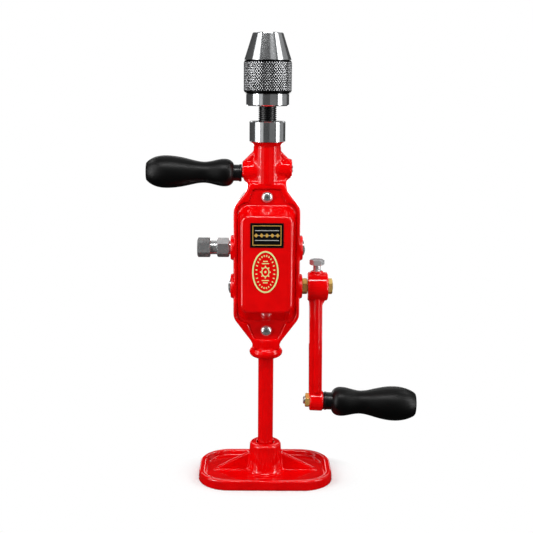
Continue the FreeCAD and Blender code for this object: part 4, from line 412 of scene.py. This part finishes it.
# the plain ends of the spindle, then a core between them with the thread wound round it
form = cut_off(node_form("spindle"), thread_low, True)
upper = cut_off(node_form("spindle"), thread_high, False)
upper_end = bpy.data.meshes.new("upper_spindle")
upper.to_mesh(upper_end)
upper.free()
form.from_mesh(upper_end)
core = bmesh.ops.create_cone(form, cap_ends=True, segments=THREAD_STEPS, radius1=THREAD_ROOT, radius2=THREAD_ROOT,
                             depth=thread_high - thread_low + 0.2 * MM)
bmesh.ops.translate(form, verts=core["verts"], vec=(0, 0, (thread_low + thread_high) / 2))
start = thread_low + THREAD_RUN_OUT
points, edges = draw_section(form, [
    (THREAD_ROOT - 0.2 * MM, start - THREAD_FOOT), (THREAD_ROOT, start - THREAD_FOOT),
    (THREAD_CREST, start - THREAD_FLAT), (THREAD_CREST, start + THREAD_FLAT),
    (THREAD_ROOT, start + THREAD_FOOT), (THREAD_ROOT - 0.2 * MM, start + THREAD_FOOT)])
end = form.faces.new(points)
turns = (thread_high - thread_low - 2 * THREAD_RUN_OUT) / THREAD_PITCH
steps = int(turns * THREAD_STEPS)
bmesh.ops.spin(form, geom=[end] + edges + points, cent=(0, 0, 0), axis=(0, 0, 1),
               dvec=(0, 0, THREAD_PITCH / THREAD_STEPS), angle=2 * math.pi * steps / THREAD_STEPS, steps=steps,
               use_merge=False, use_duplicate=False)
stand_for(finish_mesh(form, "threaded_spindle"), "spindle")


# Printed ornament on the label and the badge: plain shapes, no words

def ring(form, radius, line, segments, stretch=1.0):
    """Flat ring round the origin, stretched up and down."""
    made = bmesh.ops.create_circle(form, cap_ends=True, segments=segments, radius=radius)
    bmesh.ops.scale(form, verts=made["verts"], vec=(1.0, stretch, 1.0))
    face = made["verts"][0].link_faces[0]
    bmesh.ops.inset_region(form, faces=[face], thickness=line, use_even_offset=True, use_boundary=True)
    bmesh.ops.delete(form, geom=[face], context="FACES_ONLY")


def ruled_frame(form, width, height, line):
    """Flat rectangular frame round the origin."""
    made = bmesh.ops.create_grid(form, x_segments=1, y_segments=1, size=0.5)
    bmesh.ops.scale(form, verts=made["verts"], vec=(width, height, 1.0))
    face = made["verts"][0].link_faces[0]
    bmesh.ops.inset_region(form, faces=[face], thickness=line, use_even_offset=True, use_boundary=True)
    bmesh.ops.delete(form, geom=[face], context="FACES_ONLY")


def mark(form, width, height, x, y, turn=0.0):
    """Flat bar at x, y, turned by an angle."""
    made = bmesh.ops.create_grid(form, x_segments=1, y_segments=1, size=0.5)
    bmesh.ops.scale(form, verts=made["verts"], vec=(width, height, 1.0))
    bmesh.ops.rotate(form, verts=made["verts"], cent=(0, 0, 0), matrix=Matrix.Rotation(turn, 3, "Z"))
    bmesh.ops.translate(form, verts=made["verts"], vec=(x, y, 0.0))


def dot(form, radius, x, y):
    """Flat round spot at x, y."""
    made = bmesh.ops.create_circle(form, cap_ends=True, segments=10, radius=radius)
    bmesh.ops.translate(form, verts=made["verts"], vec=(x, y, 0.0))


def put_on_front(form, name, x, z, depth, slot):
    """Stand flat shapes drawn round their own middle on a surface that faces forward, PRINT thick."""
    form.normal_update()
    bmesh.ops.reverse_faces(form, faces=[face for face in form.faces if face.normal.z > 0])
    bmesh.ops.solidify(form, geom=form.faces[:], thickness=PRINT)
    bmesh.ops.rotate(form, verts=form.verts, cent=(0, 0, 0), matrix=Matrix.Rotation(math.radians(90), 3, "X"))
    front = max(point.co.y for point in form.verts)
    bmesh.ops.translate(form, verts=form.verts, vec=(x, depth - front, z))
    piece = finish_mesh(form, name)
    dress(piece, slot)
    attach(piece, "drill")


PRINT = 0.06 * MM

# label: a thin frame round a band of lozenges, with a pale rule above and below
LABEL_MARGIN = 2.3 * MM
LABEL_LINE = 0.7 * MM
LOZENGE, LOZENGE_PITCH = 3.0 * MM, 5.2 * MM
RULES_APART = 9.6 * MM
low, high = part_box("label_plate")
middle_x, middle_z = (low[0] + high[0]) / 2, (low[2] + high[2]) / 2
inner_width = high[0] - low[0] - 2 * LABEL_MARGIN
inner_height = high[2] - low[2] - 2 * LABEL_MARGIN
form = bmesh.new()
ruled_frame(form, inner_width, inner_height, LABEL_LINE)
for place in (-2, -1, 0, 1, 2):
    mark(form, LOZENGE, LOZENGE, place * LOZENGE_PITCH, 0.0, math.radians(45))
put_on_front(form, "label_ornament", middle_x, middle_z, low[1], "gold_print")

form = bmesh.new()
for side in (-1, 1):
    mark(form, inner_width - 2 * LABEL_MARGIN, LABEL_LINE, 0.0, side * RULES_APART / 2)
for place in (-1.5, -0.5, 0.5, 1.5):
    mark(form, LOZENGE / 3, LOZENGE / 3, place * LOZENGE_PITCH, 0.0, math.radians(45))
put_on_front(form, "label_pale_marks", middle_x, middle_z, low[1], "silver_print")

# badge: a toothed wheel between bars, in an oval of small blocks
low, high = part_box("oval_badge")
oval_x, oval_z = (low[0] + high[0]) / 2, (low[2] + high[2]) / 2
panel_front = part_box("front_cover")[0][1]
BADGE_BLOCKS = 24
WHEEL_TEETH = 8
form = bmesh.new()
for block in range(BADGE_BLOCKS):
    angle = 2 * math.pi * (block + 0.5) / BADGE_BLOCKS
    x, y = 8.8 * MM * math.cos(angle), 16.0 * MM * math.sin(angle)
    mark(form, 1.7 * MM, 1.0 * MM, x, y, math.atan2(y / 1.8, x))
ring(form, 3.9 * MM, 0.9 * MM, 32, 1.25)
for tooth in range(WHEEL_TEETH):
    angle = 2 * math.pi * tooth / WHEEL_TEETH
    mark(form, 1.3 * MM, 1.1 * MM, 4.6 * MM * math.cos(angle), 5.6 * MM * math.sin(angle), angle)
dot(form, 1.1 * MM, 0.0, 0.0)
for side in (-1, 1):
    mark(form, 7.0 * MM, 0.9 * MM, 0.0, side * 8.4 * MM)
    mark(form, 4.4 * MM, 0.9 * MM, 0.0, side * 10.6 * MM)
put_on_front(form, "badge_ornament", oval_x, oval_z, panel_front + 0.02 * MM, "cream_paint")


# Studio: lights, world, floor and camera

CENTRE = Vector((0.0, 0.0, 0.22))
CAMERA_PITCH = math.radians(11.0)


def softbox(name, azimuth, elevation, distance, width, height, radiance):
    """Soft light that faces the drill's middle from azimuth degrees right of its front and elevation degrees up."""
    lamp = bpy.data.lights.new(name, "AREA")
    lamp.shape = "RECTANGLE"
    lamp.size = width
    lamp.size_y = height
    lamp.energy = radiance * math.pi * width * height
    holder = bpy.data.objects.new(name, lamp)
    scene.collection.objects.link(holder)
    side, rise = math.radians(azimuth), math.radians(elevation)
    away = Vector((math.sin(side) * math.cos(rise), -math.cos(side) * math.cos(rise), math.sin(rise)))
    holder.location = CENTRE + away * distance
    holder.rotation_euler = (-away).to_track_quat("-Z", "Y").to_euler()
    holder.visible_camera = False


# name, azimuth, elevation, distance, width and height in metres, radiance: large dim boxes light the enamel, narrow
# bright strips draw its thin highlights, and the lights behind the drill draw its outline
STUDIO_LIGHTS = (
    ("top_light", 0, 58, 1.05, 0.92, 0.12, 17.5),
    ("left_softbox", -66, 12, 1.30, 0.84, 1.50, 2.1),
    ("left_strip", -60, 12, 1.28, 0.10, 1.50, 12.5),
    ("left_fill", -36, 12, 1.40, 0.45, 1.40, 0.6),
    ("right_softbox", 70, 12, 1.30, 0.60, 1.50, 2.2),
    ("right_strip", 66, 12, 1.28, 0.10, 1.50, 12.5),
    ("right_fill", 30, 12, 1.50, 0.95, 1.40, 0.12),
    ("right_high", 30, 36, 1.40, 0.60, 0.50, 0.4),
    ("right_side", 104, 12, 1.30, 0.80, 1.40, 0.28),
    ("overhead", 180, 70, 1.30, 0.90, 0.45, 0.7),
    ("left_rim", -117, 46, 1.25, 0.20, 0.20, 10.0),
    ("right_rim", 117, 46, 1.25, 0.20, 0.20, 10.0),
    ("back_low", 180, -5, 1.30, 1.60, 0.20, 3.5),
    ("back_softbox", 180, 32, 1.50, 1.60, 0.50, 1.6),
)
for row in STUDIO_LIGHTS:
    softbox(*row)

world = bpy.data.worlds.new("white_studio")
scene.world = world
world.use_nodes = True
tree = world.node_tree
tree.nodes.clear()
rays = add_node(tree, "ShaderNodeLightPath")
direction = add_node(tree, "ShaderNodeTexCoord")
# seen in gloss, the backdrop low behind the drill is white and the room round it is dark. A Mix node's sockets go by
# number: 0 is the share, 2 and 3 are two values, 6 and 7 two colours.
ahead = add_node(tree, "ShaderNodeVectorMath", {"operation": "DOT_PRODUCT"}, {
    0: direction.outputs["Generated"], 1: (0.0, math.cos(CAMERA_PITCH), -math.sin(CAMERA_PITCH))})
backdrop = add_node(tree, "ShaderNodeMapRange", inputs={
    "Value": ahead.outputs["Value"], "From Min": 0.96, "From Max": 0.99, "To Min": 0.03, "To Max": 1.0})
gloss = add_node(tree, "ShaderNodeMath", {"operation": "MAXIMUM"}, {
    0: rays.outputs["Is Glossy Ray"], 1: rays.outputs["Is Transmission Ray"]})
room = add_node(tree, "ShaderNodeMix", {"data_type": "FLOAT"}, {
    0: gloss.outputs["Value"], 2: 0.07, 3: backdrop.outputs["Result"]})
level = add_node(tree, "ShaderNodeMix", {"data_type": "FLOAT"}, {
    0: rays.outputs["Is Camera Ray"], 2: room.outputs[0], 3: 1.0})
light = add_node(tree, "ShaderNodeBackground", inputs={"Color": (1, 1, 1, 1), "Strength": level.outputs[0]})
add_node(tree, "ShaderNodeOutputWorld", inputs={"Surface": light.outputs["Background"]})

FLOOR_RADIUS = 0.5
UNDER_PLATE = -0.2 * MM
form = bmesh.new()
bmesh.ops.create_circle(form, cap_ends=True, segments=96, radius=FLOOR_RADIUS)
bmesh.ops.translate(form, verts=form.verts, vec=(0, 0, UNDER_PLATE))
floor_mesh = bpy.data.meshes.new("floor")
form.to_mesh(floor_mesh)
form.free()
floor = new_object(floor_mesh, "floor")

# white paper that keeps the shadow near the drill and melts into the white behind it further out
paper_floor, tree, surface, where = new_material("white_paper_floor")
tree.nodes.remove(surface)
rays = add_node(tree, "ShaderNodeLightPath")
# the shadow's patch is an oval, wider than deep, as the breast plate is
oval = add_node(tree, "ShaderNodeMapping", inputs={"Vector": where, "Scale": (0.6, 1.0, 1.0)})
reach = add_node(tree, "ShaderNodeVectorMath", {"operation": "LENGTH"}, {0: oval.outputs["Vector"]})
melt = add_node(tree, "ShaderNodeMapRange", inputs={
    "Value": reach.outputs["Value"], "From Min": 0.042, "From Max": 0.062, "To Min": 0.0, "To Max": 1.0})
bounce = add_node(tree, "ShaderNodeMix", {"data_type": "RGBA"}, {
    0: rays.outputs["Is Glossy Ray"], 6: colour("#8C8C8C"), 7: colour("#303030")})
tone = add_node(tree, "ShaderNodeMix", {"data_type": "RGBA"}, {
    0: rays.outputs["Is Camera Ray"], 6: bounce.outputs[2], 7: colour("#FAFAFA")})
paper = add_node(tree, "ShaderNodeBsdfDiffuse", inputs={"Color": tone.outputs[2]})
glow = add_node(tree, "ShaderNodeEmission", inputs={"Color": (1, 1, 1, 1), "Strength": 1.0})
share = add_node(tree, "ShaderNodeMath", {"operation": "MULTIPLY"}, {
    0: rays.outputs["Is Camera Ray"], 1: melt.outputs["Result"]})
mix = add_node(tree, "ShaderNodeMixShader", inputs={
    "Fac": share.outputs["Value"], 1: paper.outputs["BSDF"], 2: glow.outputs["Emission"]})
out = [node for node in tree.nodes if node.bl_idname == "ShaderNodeOutputMaterial"][0]
tree.links.new(mix.outputs["Shader"], out.inputs["Surface"])
floor.data.materials.append(paper_floor)

# Camera: a long lens, 11 degrees above the drill's middle. The picture is 533 pixels wide and a pixel is a millimetre
# at the drill's axis. The camera stands 8 mm left of the axis, and the shift keeps the axis in the picture's middle.
PICTURE = 533.0
FOCAL_PIXELS = 940.0
SENSOR = 36.0
CAMERA_DISTANCE = FOCAL_PIXELS * MM
CAMERA_ROLL = math.radians(0.3)
CAMERA_AIM = Vector((-0.008, 0.0, 0.2198))
lens = bpy.data.cameras.new("camera")
lens.sensor_width = SENSOR
lens.lens = SENSOR * FOCAL_PIXELS / PICTURE
lens.shift_x = 8.0 / PICTURE
lens.clip_start = 0.01
camera = bpy.data.objects.new("camera", lens)
scene.collection.objects.link(camera)
turn = Matrix.Rotation(math.radians(90) - CAMERA_PITCH, 4, "X") @ Matrix.Rotation(CAMERA_ROLL, 4, "Z")
place = CAMERA_AIM + Vector((0, -math.cos(CAMERA_PITCH), math.sin(CAMERA_PITCH))) * CAMERA_DISTANCE
camera.matrix_world = Matrix.Translation(place) @ turn
scene.camera = camera

scene.view_settings.view_transform = "Standard"
